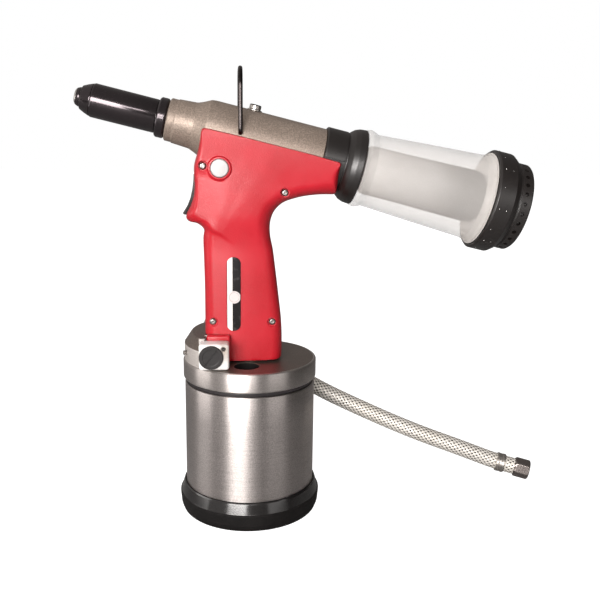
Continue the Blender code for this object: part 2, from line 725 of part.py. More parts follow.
def make_oil_screw():
    up = Vector((sin(BARREL_TILT), 0.0, cos(BARREL_TILT)))
    seat = barrel_point(-14.0 * MM, BARREL_R - 0.3 * MM)
    rows = ((2.75, 0.0), (4.9, 0.0), (4.9, 0.7), (2.75, 0.7))
    washer = lathe("oil_screw_washer", [(r * MM, z * MM) for r, z in rows], BRASS, steps=24)
    washer.rotation_euler = (0.0, BARREL_TILT, 0.0)
    washer.location = seat
    rows = (
        (0.0, -5.0), (2.4, -5.0), (2.4, 1.0), (3.85, 1.0), (3.85, 3.4), (3.3, 4.0), (2.0, 4.0),
        (2.0, 2.2), (0.0, 2.2),
    )
    screw = lathe("oil_screw", [(r * MM, z * MM) for r, z in rows], BRIGHT, steps=24)
    screw.rotation_euler = (0.0, BARREL_TILT, 0.0)
    screw.location = seat
    return up


# --------------------------------------------------------------- piston

def make_air_piston():
    r = CAN_BORE_R - 0.1 * MM
    rows = (
        (0.0, 14.0 * MM), (34.0 * MM, 14.0 * MM), (r, 17.0 * MM), (r, 21.0 * MM), (39.4 * MM, 21.0 * MM),
        (39.4 * MM, 25.0 * MM), (r, 25.0 * MM), (r, 29.0 * MM), (40.0 * MM, 30.0 * MM),
        (34.0 * MM, 30.0 * MM), (32.0 * MM, 24.0 * MM), (15.0 * MM, 24.0 * MM), (13.0 * MM, 30.0 * MM),
        (0.0, 30.0 * MM),
    )
    lathe("air_piston", rows, ALLOY, steps=40)
    rows = (
        (39.6 * MM, 21.2 * MM), (r - 0.06 * MM, 21.2 * MM), (r - 0.06 * MM, 24.8 * MM), (39.6 * MM, 24.8 * MM),
    )
    lathe("air_piston_seal", rows, RUBBER, steps=40)
    rows = (
        (0.0, 30.3 * MM), (PLUNGER_R, 30.3 * MM), (PLUNGER_R, 153.0 * MM),
        (PLUNGER_R - 1.5 * MM, 155.0 * MM), (0.0, 155.0 * MM),
    )
    lathe("plunger", rows, BRIGHT, steps=32)


# ---------------------------------------------------------------- shell

RIM = (
    (-31.6, 264.6), (-33.6, 250.0), (-36.4, 239.5), (-36.4, 233.0), (-36.2, 227.0), (-36.7, 221.0),
    (-38.6, 214.8), (-41.9, 205.7), (-41.0, 203.6), (-34.4, 202.1), (-30.6, 198.5), (-31.0, 193.6),
    (-30.8, 180.4), (-30.4, 160.0), (-30.4, 140.7), (-30.3, 110.6), (-12.0, 110.4), (6.0, 110.4),
    (21.2, 110.6), (21.5, 124.0), (21.0, 136.2), (19.1, 153.3), (16.7, 172.5), (15.0, 185.2),
    (13.0, 196.0), (13.2, 204.0), (15.6, 210.6), (20.4, 215.6), (30.0, 219.4), (43.3, 221.6),
    (56.2, 221.9), (58.2, 236.0), (59.2, 242.9), (36.0, 248.9), (14.5, 254.0), (-7.0, 259.1),
)
CROWN = (
    (-27.2, 259.6), (-28.2, 249.0), (-29.6, 239.5), (-29.8, 233.0), (-29.8, 227.0), (-30.2, 221.0),
    (-31.0, 214.3), (-31.4, 208.6), (-30.0, 206.4), (-27.2, 204.4), (-24.4, 200.0), (-23.8, 193.0),
    (-23.3, 180.4), (-22.9, 160.0), (-22.7, 140.7), (-23.0, 111.5), (-12.0, 111.2), (4.0, 111.3),
    (13.0, 111.6), (13.3, 124.0), (12.6, 136.2), (10.6, 153.3), (8.2, 172.5), (6.4, 185.2),
    (4.4, 196.0), (4.8, 206.6), (8.8, 215.6), (15.8, 222.0), (27.0, 226.8), (41.3, 229.4),
    (52.6, 230.6), (53.6, 235.6), (54.4, 241.6), (34.6, 246.8), (13.6, 251.6), (-7.4, 256.4),
)


def shell_half_width(z):
    """Half width of the crown: fuller round the barrel than down the grip."""
    t = min(max((z - 195.0 * MM) / (45.0 * MM), 0.0), 1.0)
    t = t * t * (3.0 - 2.0 * t)
    return GRIP_HALF_W + (HEAD_HALF_W - GRIP_HALF_W) * t


def shell_mesh(name, side):
    """The outer skin of one half: rings from the split face out to the crown."""
    bm = bmesh.new()
    levels = ((0.0, 0.0), (0.0, 0.42), (0.10, 0.68), (0.34, 0.86), (0.66, 0.96), (1.0, 1.0))
    rings = []
    for inset, rise in levels:
        ring = []
        for (x0, z0), (x1, z1) in zip(RIM, CROWN):
            x = (x0 + (x1 - x0) * inset) * MM
            z = (z0 + (z1 - z0) * inset) * MM
            y = SHELL_SPLIT + (shell_half_width(z) - SHELL_SPLIT) * rise
            ring.append(bm.verts.new((x, side * y, z)))
        rings.append(ring)
    count = len(RIM)
    for low, high in zip(rings, rings[1:]):
        for k in range(count):
            nxt = (k + 1) % count
            bm.faces.new((low[k], low[nxt], high[nxt], high[k]))
    ends = [bm.faces.new(rings[0]), bm.faces.new(rings[-1])]
    bm.normal_update()
    bmesh.ops.triangulate(bm, faces=ends)
    return mesh_from(bm, name)


SCREWS = ((-30.5, 239.8), (22.0, 223.3), (-25.0, 137.8), (14.4, 137.5))


def make_shell(name, side):
    shell = add_object(name, shell_mesh(name, side), RED)
    half = GRIP_HALF_W - SHELL_WALL
    if side < 0:
        panel = helper_box((-29.2 * MM, -24.0 * MM, 110.6 * MM), (-13.8 * MM, -17.0 * MM, 129.8 * MM))
        bevel(panel, 1.2 * MM, 2)
        collar = helper_cylinder(
            7.1 * MM, (-19.9 * MM, -19.0 * MM, 238.6 * MM), (-19.9 * MM, -22.3 * MM, 238.6 * MM), 24
        )
        combine(shell, [panel, collar], "UNION")
    cuts = []
    grip = helper(prism_mesh("grip", (
        (-27.4 * MM, 100.0 * MM), (18.2 * MM, 100.0 * MM), (18.4 * MM, 124.0 * MM), (16.0 * MM, 153.0 * MM),
        (10.9 * MM, 185.0 * MM), (9.0 * MM, 197.0 * MM), (9.2 * MM, 206.0 * MM), (12.2 * MM, 214.0 * MM),
        (18.8 * MM, 220.4 * MM), (31.0 * MM, 224.0 * MM), (53.0 * MM, 226.6 * MM), (53.4 * MM, 236.0 * MM),
        (30.0 * MM, 242.0 * MM), (-27.0 * MM, 250.0 * MM), (-32.4 * MM, 240.0 * MM),
        (-33.2 * MM, 222.0 * MM), (-33.8 * MM, 209.0 * MM), (-27.9 * MM, 202.2 * MM),
    ), -half, half, "Y"))
    bevel(grip, 3.5 * MM, 2, 60)
    cuts.append(grip)
    cuts.append(helper_cylinder(COLUMN_R + GAP, (0.0, 0.0, 100.0 * MM), (0.0, 0.0, 232.0 * MM), 40))
    start = barrel_point(-60.0 * MM)
    end = barrel_point(80.0 * MM)
    cuts.append(helper_cylinder(BARREL_R + GAP, start, end, steps=32))
    housing_top = HOUSING_TOP_Z + GAP
    cuts.append(helper_box(
        (-40.0 * MM, -HOUSING_SKIN_Y - GAP, 100.0 * MM), (-24.0 * MM, HOUSING_SKIN_Y + GAP, housing_top)
    ))
    trigger_top = 236.6 * MM
    cuts.append(helper_box(
        (-60.0 * MM, -TRIGGER_HALF_W - 0.6 * MM, 206.4 * MM),
        (-25.0 * MM, TRIGGER_HALF_W + 0.6 * MM, trigger_top),
    ))
    pin_start = (TRIGGER_PIN_X, 0.0, TRIGGER_PIN_Z)
    pin_end = (TRIGGER_PIN_X, side * 14.4 * MM, TRIGGER_PIN_Z)
    cuts.append(helper_cylinder(1.8 * MM, pin_start, pin_end, 16))
    hole_r = VALVE_SPIGOT_R + GAP
    cuts.append(helper_cylinder(hole_r, (VALVE_X, 0.0, VALVE_Z), (VALVE_X, side * 40.0 * MM, VALVE_Z)))
    if side < 0:
        cuts.append(helper_cylinder(
            6.05 * MM, (-19.9 * MM, -10.0 * MM, 238.6 * MM), (-19.9 * MM, -30.0 * MM, 238.6 * MM), 24
        ))
        for x, z in SCREWS:
            deep = (x * MM, -30.0 * MM, z * MM)
            face = -shell_half_width(z * MM) + 2.4 * MM
            cuts.append(helper_cylinder(3.0 * MM, (x * MM, face, z * MM), deep, 16))
            cuts.append(helper_cylinder(1.6 * MM, (x * MM, face + 6.0 * MM, z * MM), deep, 12))
    combine(shell, cuts, "DIFFERENCE")
    refresh(shell, RED)
    return shell


def make_shell_screws():
    for index, (x, z) in enumerate(SCREWS):
        face = -shell_half_width(z * MM) + 2.4 * MM - GAP
        screw = make_plug_screw(
            "shell_screw_" + str(index + 1), (x * MM, face, z * MM), (0.0, -1.0, 0.0),
            2.3 * MM, 1.5 * MM, 1.25 * MM, 5.0 * MM, BRIGHT,
        )
        screw["row"] = index


def make_label():
    cx = -11.2 * MM
    low = 131.9 * MM
    high = 181.4 * MM
    r = 4.55 * MM
    outline = []
    for k in range(9):
        angle = pi * k / 8
        outline.append((cx + r * cos(angle), high - r + r * sin(angle)))
    for k in range(9):
        angle = pi + pi * k / 8
        outline.append((cx + r * cos(angle), low + r + r * sin(angle)))
    outer = -GRIP_HALF_W - 0.8 * MM
    mesh = prism_mesh("label_plate", outline, outer, -GRIP_HALF_W - GAP, "Y")
    return add_object("label_plate", mesh, BLACK)


def make_suction_button():
    rows = (
        (0.0, -8.0 * MM), (2.2 * MM, -8.0 * MM), (2.2 * MM, 0.0), (5.75 * MM, 0.0), (5.75 * MM, 5.2 * MM),
        (5.2 * MM, 5.9 * MM), (0.0, 6.2 * MM),
    )
    place = (-19.9 * MM, -17.4 * MM, 238.6 * MM)
    return lathe("suction_button", rows, WHITE, steps=24, location=place, rotation=(pi / 2, 0.0, 0.0))


# -------------------------------------------------------------- trigger

def make_trigger():
    px = TRIGGER_PIN_X
    pz = TRIGGER_PIN_Z
    side = (
        (-37.4, 234.4), (-38.0, 230.0), (-38.9, 224.6), (-40.3, 218.8), (-42.1, 213.8), (-44.4, 209.0),
        (-44.0, 207.9), (-41.7, 207.6), (-39.2, 211.8), (-37.1, 217.0), (-35.9, 221.2), (-34.0, 224.6),
        (-31.0, 228.4), (-29.8, 231.6), (-30.8, 234.2), (-33.0, 235.2),
    )
    outline = [(x * MM - px, z * MM - pz) for x, z in side]
    mesh = prism_mesh("trigger", outline, -TRIGGER_HALF_W, TRIGGER_HALF_W, "Y")
    trigger = add_object("trigger", mesh, DARK_STEEL)
    hole = helper_cylinder(1.55 * MM, (0.0, -20.0 * MM, 0.0), (0.0, 20.0 * MM, 0.0), 16)
    combine(trigger, [hole], "DIFFERENCE")
    refresh(trigger, DARK_STEEL)
    trigger.location = (px, 0.0, pz)
    rows = ((0.0, -14.0 * MM), (1.5 * MM, -14.0 * MM), (1.5 * MM, 14.0 * MM), (0.0, 14.0 * MM))
    pin = lathe("trigger_pin", rows, BRIGHT, steps=16)
    pin.rotation_euler = (pi / 2, 0.0, 0.0)
    pin.location = (px, 0.0, pz)
    return trigger


def make_pilot_stem():
    rows = (
        (0.0, 0.0), (1.5 * MM, 0.0), (1.5 * MM, 12.4 * MM), (2.6 * MM, 12.4 * MM), (2.6 * MM, 13.6 * MM),
        (0.0, 14.4 * MM),
    )
    place = (-21.4 * MM, 0.0, STEM_Z)
    return lathe("pilot_stem", rows, BRIGHT, steps=16, location=place, rotation=(0.0, -pi / 2, 0.0))


# ----------------------------------------------------------------- hook

def make_hook():
    """A wire bail: both feet turn inwards into the barrel's sides."""
    w = HOOK_HALF_W
    corners = [(-16.2 * MM, 0.0), (-18.6 * MM, 0.0)]
    bend = 2.4 * MM
    for k in range(1, 4):
        angle = pi / 2 * k / 3
        corners.append((-w + bend - bend * sin(angle), bend - bend * cos(angle)))
    top = HOOK_TOP_Z - HOOK_Z
    big = 12.0 * MM
    for k in range(0, 7):
        angle = pi / 2 * k / 6
        corners.append((-w + big - big * cos(angle), top - big + big * sin(angle)))
    path = corners + [(-y, z) for y, z in reversed(corners)]
    points = [Vector((0.0, y, z)) for y, z in path]
    hook = add_object("suspension_hook", tube_mesh("suspension_hook", points, HOOK_WIRE_R, 8), DARK_STEEL)
    hook.location = (HOOK_X, 0.0, HOOK_Z)
    return hook


# ----------------------------------------------------------------- hose

def make_hose_elbow():
    centre = Vector((VALVE_X, 57.0 * MM, VALVE_Z))
    exit_point = Vector(HOSE_ROUTE[0]) * MM
    away = (exit_point - centre).normalized()
    tail_end = exit_point - away * GAP
    elbow = lathe(
        "hose_elbow",
        ((0.0, 0.0), (VALVE_SPIGOT_R, 0.0), (VALVE_SPIGOT_R, 41.5 * MM), (0.0, 41.5 * MM)),
        STEEL, steps=24,
    )
    elbow.rotation_euler = (-pi / 2, 0.0, 0.0)
    elbow.location = (VALVE_X, HOUSING_SKIN_Y + GAP, VALVE_Z)
    ball = helper(lathe_mesh("ball", [
        (7.6 * MM * sin(pi * k / 10), -7.6 * MM * cos(pi * k / 10)) for k in range(11)
    ], 24))
    ball.location = centre
    flange = helper(prism_mesh("flange", [
        (8.6 * MM * cos(pi * k / 3), 8.6 * MM * sin(pi * k / 3)) for k in range(6)
    ], 0.0, 8.0 * MM, "Z"))
    flange.rotation_euler = (-pi / 2, 0.0, 0.0)
    flange.location = (VALVE_X, 36.0 * MM, VALVE_Z)
    tail = helper_cylinder(6.6 * MM, centre, tail_end, 24)
    combine(elbow, [ball, flange, tail], "UNION")
    bores = [
        helper_cylinder(3.0 * MM, (VALVE_X, 0.0, VALVE_Z), centre, 12),
        helper_cylinder(2.8 * MM, centre - away * 2.0 * MM, exit_point + away * 5.0 * MM, 12),
    ]
    combine(elbow, bores, "DIFFERENCE")
    refresh(elbow, STEEL)
    return elbow


def make_hose():
    route = [Vector(p) * MM for p in HOSE_ROUTE]
    first = (route[0] - Vector((VALVE_X, 57.0 * MM, VALVE_Z))).normalized()
    last = Vector(HOSE_END_DIR).normalized()
    start = route[0] + first * 9.0 * MM
    finish = route[-1] - last * 16.0 * MM
    fine = smooth_curve([start] + route[1:-1] + [finish], 8)
    points = [route[0], start]
    run = 0.0
    for a, b in zip(fine, fine[1:]):
        run += (b - a).length
        if run >= 20.0 * MM:
            points.append(b)
            run = 0.0
    if (points[-1] - finish).length < 11.0 * MM:
        points.pop()
    points += [finish, route[-1]]
    curve = bpy.data.curves.new("air_hose", "CURVE")
    curve.dimensions = "3D"
    curve.bevel_depth = HOSE_R
    curve.bevel_resolution = 2
    curve.use_fill_caps = True
    spline = curve.splines.new("POLY")
    spline.points.add(len(points) - 1)
    for item, point in zip(spline.points, points):
        item.co = (point.x, point.y, point.z, 1.0)
    hose = bpy.data.objects.new("air_hose", curve)
    bpy.context.scene.collection.objects.link(hose)
    curve.materials.append(material("air_hose", *BRAID))


def make_hose_fittings():
    end = Vector(HOSE_ROUTE[-1]) * MM
    last = Vector(HOSE_END_DIR).normalized()
    up = (Vector((0.0, 0.0, 1.0)) - last * last.z).normalized()
    side = up.cross(last)
    turn = Matrix((side, up, last)).transposed().to_quaternion()
    r = NUT_FLATS / sqrt(3.0)
    outline = []
    for k in range(6):
        angle = pi * k / 3 + NUT_TURN
        outline.append((r * cos(angle), r * sin(angle)))
    nut = add_object("hose_nut", prism_mesh("hose_nut", outline, 0.0, NUT_LENGTH, "Z"), STEEL)
    bevel(nut, 0.5 * MM, 1)
    hole = helper_cylinder(4.4 * MM, (0.0, 0.0, 3.0 * MM), (0.0, 0.0, 20.0 * MM), 20)
    combine(nut, [hole], "DIFFERENCE")
    refresh(nut, STEEL)
    nut.rotation_mode = "QUATERNION"
    nut.rotation_quaternion = turn
    nut.location = end + last * GAP
    return nut


def make_crimp_ring():
    """A smooth band round the hose a little way before its nut."""
    along = Vector(HOSE_END_DIR).normalized()
    place = Vector(HOSE_ROUTE[-1]) * MM - along * CRIMP_BACK
    rows = (
        (6.55 * MM, -3.2 * MM), (7.2 * MM, -3.2 * MM), (7.2 * MM, 3.2 * MM), (6.55 * MM, 3.2 * MM),
    )
    ring = lathe("hose_crimp_ring", rows, BRIGHT, steps=24)
    ring.rotation_mode = "QUATERNION"
    ring.rotation_quaternion = Vector((0.0, 0.0, 1.0)).rotation_difference(along)
    ring.location = place
    return ring


def main():
    clear_objects()
    barrel = empty("barrel_axis", (BARREL_X, 0.0, BARREL_Z), (0.0, pi / 2 + BARREL_TILT, 0.0))
    make_foot()
    make_can()
    make_base_plate()
    make_cap_gasket()
    make_cap()
    make_cap_side_screw()
    make_silencer()
    make_valve_block()
    make_valve_plug()
    make_valve_block_screw()
    make_valve_spool()
    make_head_casting(barrel)
    make_plunger_gland()
    make_nose(barrel)
    make_draw_train(barrel)
    for index in range(3):
        make_jaw(index, barrel)
    make_rear_collar(barrel)
    make_collector(barrel)
    make_oil_screw()
    make_air_piston()
    make_shell("near_shell", -1.0)
    make_shell("far_shell", 1.0)
    make_shell_screws()
    make_label()
    make_suction_button()
    make_trigger()
    make_pilot_stem()
    make_hook()
    make_hose_elbow()
    make_hose()
    make_hose_fittings()
    make_crimp_ring()


main()
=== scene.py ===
"""Studio scene of a hydropneumatic rivet gun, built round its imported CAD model."""

import random
from math import ceil, cos, exp, floor, hypot, pi, radians, sin, sqrt, tan

import bmesh
import bpy
from mathutils import Matrix, Vector
from mathutils.geometry import delaunay_2d_cdt


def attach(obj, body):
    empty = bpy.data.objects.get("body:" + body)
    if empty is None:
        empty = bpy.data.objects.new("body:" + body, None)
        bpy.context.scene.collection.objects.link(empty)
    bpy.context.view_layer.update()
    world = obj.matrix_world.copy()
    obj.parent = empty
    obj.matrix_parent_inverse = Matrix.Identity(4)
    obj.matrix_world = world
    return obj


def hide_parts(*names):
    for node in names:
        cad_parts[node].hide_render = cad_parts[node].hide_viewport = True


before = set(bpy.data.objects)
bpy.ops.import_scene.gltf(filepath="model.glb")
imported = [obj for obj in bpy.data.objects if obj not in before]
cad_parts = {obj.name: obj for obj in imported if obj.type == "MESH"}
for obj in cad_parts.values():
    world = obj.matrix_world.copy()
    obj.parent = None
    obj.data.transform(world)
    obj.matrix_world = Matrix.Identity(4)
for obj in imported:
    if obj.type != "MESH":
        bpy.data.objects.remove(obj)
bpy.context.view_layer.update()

MM = 0.001
GAP = 0.3

# Barrel axis, in millimetres: where it crosses the grip, and its nose-up tilt
BARREL_X = 12.15
BARREL_Z = 253.41
TILT = radians(13.27)
BARREL_R = 19.2
BARREL = Matrix.Translation((BARREL_X * MM, 0.0, BARREL_Z * MM)) @ Matrix.Rotation(pi / 2 + TILT, 4, "Y")

VALVE_X = -26.1
VALVE_Z = 118.6
HOOK_X = -6.6
HOOK_Z = 260.9


# ------------------------------------------------------------------ camera

def make_camera():
    """The photograph's viewpoint, fitted to the tool's outline."""
    yaw, pitch, roll = 0.093, 0.204, 0.014
    forward = Vector((sin(yaw) * cos(pitch), cos(yaw) * cos(pitch), -sin(pitch)))
    level = Vector((cos(yaw), -sin(yaw), 0.0))
    above = level.cross(forward)
    right = level * cos(roll) + above * sin(roll)
    up = above * cos(roll) - level * sin(roll)
    data = bpy.data.cameras.new("camera")
    data.sensor_width = 36.0
    data.lens = 45.75
    data.clip_start = 0.01
    data.clip_end = 50.0
    camera = bpy.data.objects.new("camera", data)
    place = Matrix((right, up, -forward)).transposed().to_4x4()
    place.translation = Vector((-13.46, -513.70, 255.38)) * MM
    camera.matrix_world = place
    bpy.context.scene.collection.objects.link(camera)
    bpy.context.scene.camera = camera


make_camera()


# ------------------------------------------------------------------ looks

class Look:
    """A node material built round one Principled shader."""

    def __init__(self, name, **values):
        self.mat = bpy.data.materials.new(name)
        self.mat.use_nodes = True
        self.tree = self.mat.node_tree
        self.shader = self.tree.nodes["Principled BSDF"]
        self.place = self.add("TexCoord").outputs["Object"]
        for key, value in values.items():
            self.put(self.shader, key.replace("_", " ").title().replace("Ior", "IOR"), value)

    def add(self, kind, inputs=None, **settings):
        node = self.tree.nodes.new("ShaderNode" + kind)
        for key, value in settings.items():
            setattr(node, key, value)
        for key, value in (inputs or {}).items():
            self.put(node, key, value)
        return node

    def put(self, node, key, value):
        socket = node.inputs[key]
        if isinstance(value, bpy.types.NodeSocket):
            self.tree.links.new(value, socket)
        else:
            if hasattr(socket.default_value, "__len__") and len(value) == 3 and len(socket.default_value) == 4:
                value = (*value, 1.0)
            socket.default_value = value

    def stretched(self, x, y, z):
        return self.add("Mapping", {"Vector": self.place, "Scale": (x, y, z)}).outputs["Vector"]

    def noise(self, scale, detail=3.0, roughness=0.55, vector=None, distortion=0.0):
        node = self.add("TexNoise", {
            "Vector": vector or self.place, "Scale": scale, "Detail": detail,
            "Roughness": roughness, "Distortion": distortion,
        })
        return node.outputs["Fac"]

    def cells(self, scale, feature="F1", vector=None):
        node = self.add("TexVoronoi", {"Vector": vector or self.place, "Scale": scale}, feature=feature)
        return node.outputs["Distance"]

    def ramp(self, fac, *stops):
        node = self.add("ValToRGB", {"Fac": fac})
        marks = node.color_ramp.elements
        while len(marks) < len(stops):
            marks.new(0.5)
        for mark, (place, colour) in zip(marks, stops):
            mark.position = place
            if not hasattr(colour, "__len__"):
                colour = (colour, colour, colour)
            mark.color = (*colour, 1.0)
        return node.outputs["Color"]

    def math(self, operation, a, b=0.0, clamp=False):
        return self.add("Math", {0: a, 1: b}, operation=operation, use_clamp=clamp).outputs[0]

    def mix(self, fac, a, b, blend="MIX"):
        node = self.add("Mix", data_type="RGBA", blend_type=blend)
        for socket in node.inputs:
            if socket.name == "Factor" and socket.type == "VALUE":
                self.link_or_set(socket, fac)
            elif socket.name == "A" and socket.type == "RGBA":
                self.link_or_set(socket, a)
            elif socket.name == "B" and socket.type == "RGBA":
                self.link_or_set(socket, b)
        return next(out for out in node.outputs if out.type == "RGBA")

    def link_or_set(self, socket, value):
        if isinstance(value, bpy.types.NodeSocket):
            self.tree.links.new(value, socket)
        elif hasattr(value, "__len__"):
            socket.default_value = (*value[:3], 1.0)
        else:
            socket.default_value = value

    def axis(self, letter):
        return self.add("SeparateXYZ", {"Vector": self.place}).outputs[letter]

    def bump(self, height, distance, strength=1.0, under=None):
        inputs = {"Height": height, "Distance": distance, "Strength": strength}
        if under is not None:
            inputs["Normal"] = under
        normal = self.add("Bump", inputs).outputs["Normal"]
        self.put(self.shader, "Normal", normal)
        return normal

    def colour(self, value):
        self.put(self.shader, "Base Color", value)
        return self

    def rough(self, value):
        self.put(self.shader, "Roughness", value)
        return self


def turned_metal(
    name, dark, light, low, high, lay=3200.0, grain=1500.0, metallic=1.0, lines=0.000006, stretch=0.0, specular=0.5,
    tint=(1.0, 1.0, 1.0),
):
    """Metal turned on a lathe: fine rings across the part's own Z, and a light grain."""
    look = Look(name, metallic=metallic, specular_ior_level=specular, specular_tint=tint)
    if stretch:
        look.put(look.shader, "Anisotropic", stretch)
        look.put(look.shader, "Anisotropic Rotation", 0.25)
        look.put(look.shader, "Tangent", look.add("Tangent", direction_type="RADIAL", axis="Z").outputs["Tangent"])
    rings = look.noise(1.0, 4.0, 0.6, look.stretched(30.0, 30.0, lay))
    speckle = look.noise(grain, 3.0, 0.6)
    broad = look.noise(38.0, 3.0, 0.5)
    both = look.math("ADD", look.math("MULTIPLY", rings, 0.3), look.math("MULTIPLY", speckle, 0.7))
    tone = look.ramp(both, (0.36, dark), (0.64, light))
    look.colour(look.mix(look.ramp(broad, (0.4, 0.0), (0.7, 0.22)), tone, dark))
    look.rough(look.ramp(both, (0.3, low), (0.7, high)))
    ridge = look.bump(rings, lines, 0.6)
    look.bump(speckle, lines * 1.6, 0.5, ridge)
    return look.mat


def cast_metal(name, dark, light, low, high, grain=1400.0, depth=0.00012, metallic=0.7):
    """A shot-blasted casting: a granular skin with paler tips."""
    look = Look(name, metallic=metallic)
    fine = look.noise(grain, 4.0, 0.7)
    pits = look.cells(grain * 0.75)
    broad = look.noise(60.0, 3.0, 0.5)
    both = look.math("ADD", look.math("MULTIPLY", fine, 0.65), look.math("MULTIPLY", pits, 0.5))
    tone = look.ramp(both, (0.34, dark), (0.78, light))
    look.colour(look.mix(look.ramp(broad, (0.42, 0.0), (0.66, 0.25)), tone, dark))
    look.rough(look.ramp(fine, (0.3, low), (0.7, high)))
    look.bump(both, depth, 0.8)
    return look.mat


def moulded(name, base, tint, low, high, grain=2000.0, depth=0.00005, specular=0.5, coat=0.0):
    """Moulded plastic with a fine spark-eroded grain."""
    look = Look(name, specular_ior_level=specular)
    if coat:
        look.put(look.shader, "Coat Weight", coat)
        look.put(look.shader, "Coat Roughness", 0.12)
    fine = look.noise(grain, 3.0, 0.65)
    broad = look.noise(26.0, 3.0, 0.5)
    flow = look.noise(160.0, 2.0, 0.5)
    tone = look.mix(look.ramp(broad, (0.35, 0.0), (0.7, 1.0)), base, tint)
    look.colour(look.mix(look.ramp(fine, (0.42, 0.0), (0.62, 0.35)), tone, tint))
    look.rough(look.ramp(look.math("ADD", look.math("MULTIPLY", fine, 0.7), look.math("MULTIPLY", flow, 0.3)),
                         (0.3, low), (0.7, high)))
    look.bump(fine, depth, 0.7)
    return look.mat


def machined(name, dark, light, rough=0.3):
    """Plain machined metal for the parts inside."""
    look = Look(name, metallic=1.0)
    fine = look.noise(1300.0, 3.0, 0.6)
    smear = look.noise(90.0, 3.0, 0.5)
    both = look.math("ADD", look.math("MULTIPLY", fine, 0.5), look.math("MULTIPLY", smear, 0.5))
    look.colour(look.ramp(both, (0.35, dark), (0.65, light)))
    look.rough(look.ramp(both, (0.3, rough * 0.8), (0.7, rough * 1.3)))
    look.bump(fine, 0.00001, 0.5)
    return look.mat


def foot_rubber(name, specular, low, high):
    """Moulded rubber, wiped shiny or left matt and dusty."""
    look = Look(name, specular_ior_level=specular)
    fine = look.noise(900.0, 4.0, 0.6)
    scuff = look.noise(70.0, 4.0, 0.6)
    tone = look.ramp(fine, (0.35, (0.003, 0.0026, 0.0026)), (0.7, (0.009, 0.0078, 0.0075)))
    look.colour(look.mix(look.ramp(scuff, (0.45, 0.0), (0.75, 0.3)), tone, (0.014, 0.012, 0.0115)))
    look.rough(look.ramp(scuff, (0.3, low), (0.7, high)))
    look.bump(fine, 0.00003, 0.4)
    return look.mat


def frosted(name, alpha):
    """Satin polypropylene, thin enough for the sleeve inside to show through."""
    look = Look(name, alpha=alpha, specular_ior_level=0.45)
    fine = look.noise(1500.0, 3.0, 0.6)
    broad = look.noise(45.0, 3.0, 0.5)
    tone = look.mix(look.ramp(broad, (0.35, 0.0), (0.7, 1.0)), (0.86, 0.83, 0.80), (0.80, 0.77, 0.735))
    look.colour(look.mix(look.ramp(fine, (0.4, 0.0), (0.65, 0.3)), tone, (0.74, 0.715, 0.685)))
    look.rough(look.ramp(fine, (0.3, 0.32), (0.7, 0.44)))
    look.bump(fine, 0.00003, 0.4)
    return look.mat


def liner_look():
    """The inner sleeve: grey, with painted shade darkening it towards the rear."""
    look = Look("inner_liner", specular_ior_level=0.4)
    fine = look.noise(1400.0, 3.0, 0.6)
    cloud = look.noise(55.0, 3.0, 0.5)
    run = look.math("ADD", look.axis("Z"), look.math("MULTIPLY", cloud, 0.012))
    # painted shade: the colour runs from pale grey at the front to near black at the rear
    tone = look.ramp(
        look.math("MULTIPLY", run, 5.0), (0.34, (0.68, 0.655, 0.635)), (0.43, (0.48, 0.465, 0.455)),
        (0.57, (0.36, 0.35, 0.345)), (0.69, (0.018, 0.018, 0.020)),
    )
    look.colour(look.mix(look.ramp(fine, (0.4, 0.0), (0.65, 0.25)), tone, (0.16, 0.155, 0.15)))
    look.rough(look.ramp(fine, (0.3, 0.4), (0.7, 0.55)))
    look.bump(fine, 0.00003, 0.4)
    return look.mat


def braid_look():
    """Plated wire braid: the weave's own relief, with painted shade in its gaps, along its strand edges and in the
    grooves between its wires.
    """
    look = Look("hose_braid", metallic=0.35)
    uv = look.add("UVMap", uv_map="weave").outputs["UV"]
    split = look.add("SeparateXYZ", {"Vector": uv})
    u, v = split.outputs["X"], split.outputs["Y"]
    across = []
    wires = None
    for run in (look.math("ADD", u, v), look.math("SUBTRACT", u, v)):
        part = look.math("FRACT", run)
        across.append(look.math("ABSOLUTE", look.math("SUBTRACT", part, 0.5)))
        wire = look.math("ABSOLUTE", look.math("SINE", look.math("MULTIPLY", part, 4.0 * pi)))
        wires = wire if wires is None else look.math("MULTIPLY", wires, wire)
    # painted shade masks: the gaps between strands and the edges of each strand
    gap_shade = look.math("MINIMUM", across[0], across[1])
    strand_edge_shade = look.math("MAXIMUM", across[0], across[1])
    fine = look.noise(1800.0, 3.0, 0.6)
    silver = look.ramp(fine, (0.3, (0.86, 0.82, 0.75)), (0.7, (1.0, 0.97, 0.92)))
    worn = look.mix(look.ramp(look.noise(60.0, 3.0, 0.5), (0.45, 0.0), (0.7, 0.35)), silver, (0.72, 0.66, 0.56))
    # painted shade in the grooves between the wires of each strand
    groove_shaded = look.mix(look.ramp(wires, (0.0, 0.2), (0.35, 0.0)), worn, (0.42, 0.38, 0.32))
    # painted shade along the strand edges
    edge_shaded = look.mix(look.ramp(strand_edge_shade, (0.38, 0.0), (0.47, 0.62)), groove_shaded, (0.16, 0.14, 0.11))
    # near-black painted shade in the gaps of the weave
    look.colour(look.mix(look.ramp(gap_shade, (0.24, 0.0), (0.31, 1.0)), edge_shaded, (0.012, 0.010, 0.008)))
    look.rough(look.ramp(fine, (0.3, 0.34), (0.7, 0.5)))
    look.bump(wires, 0.00006, 0.6)
    return look.mat


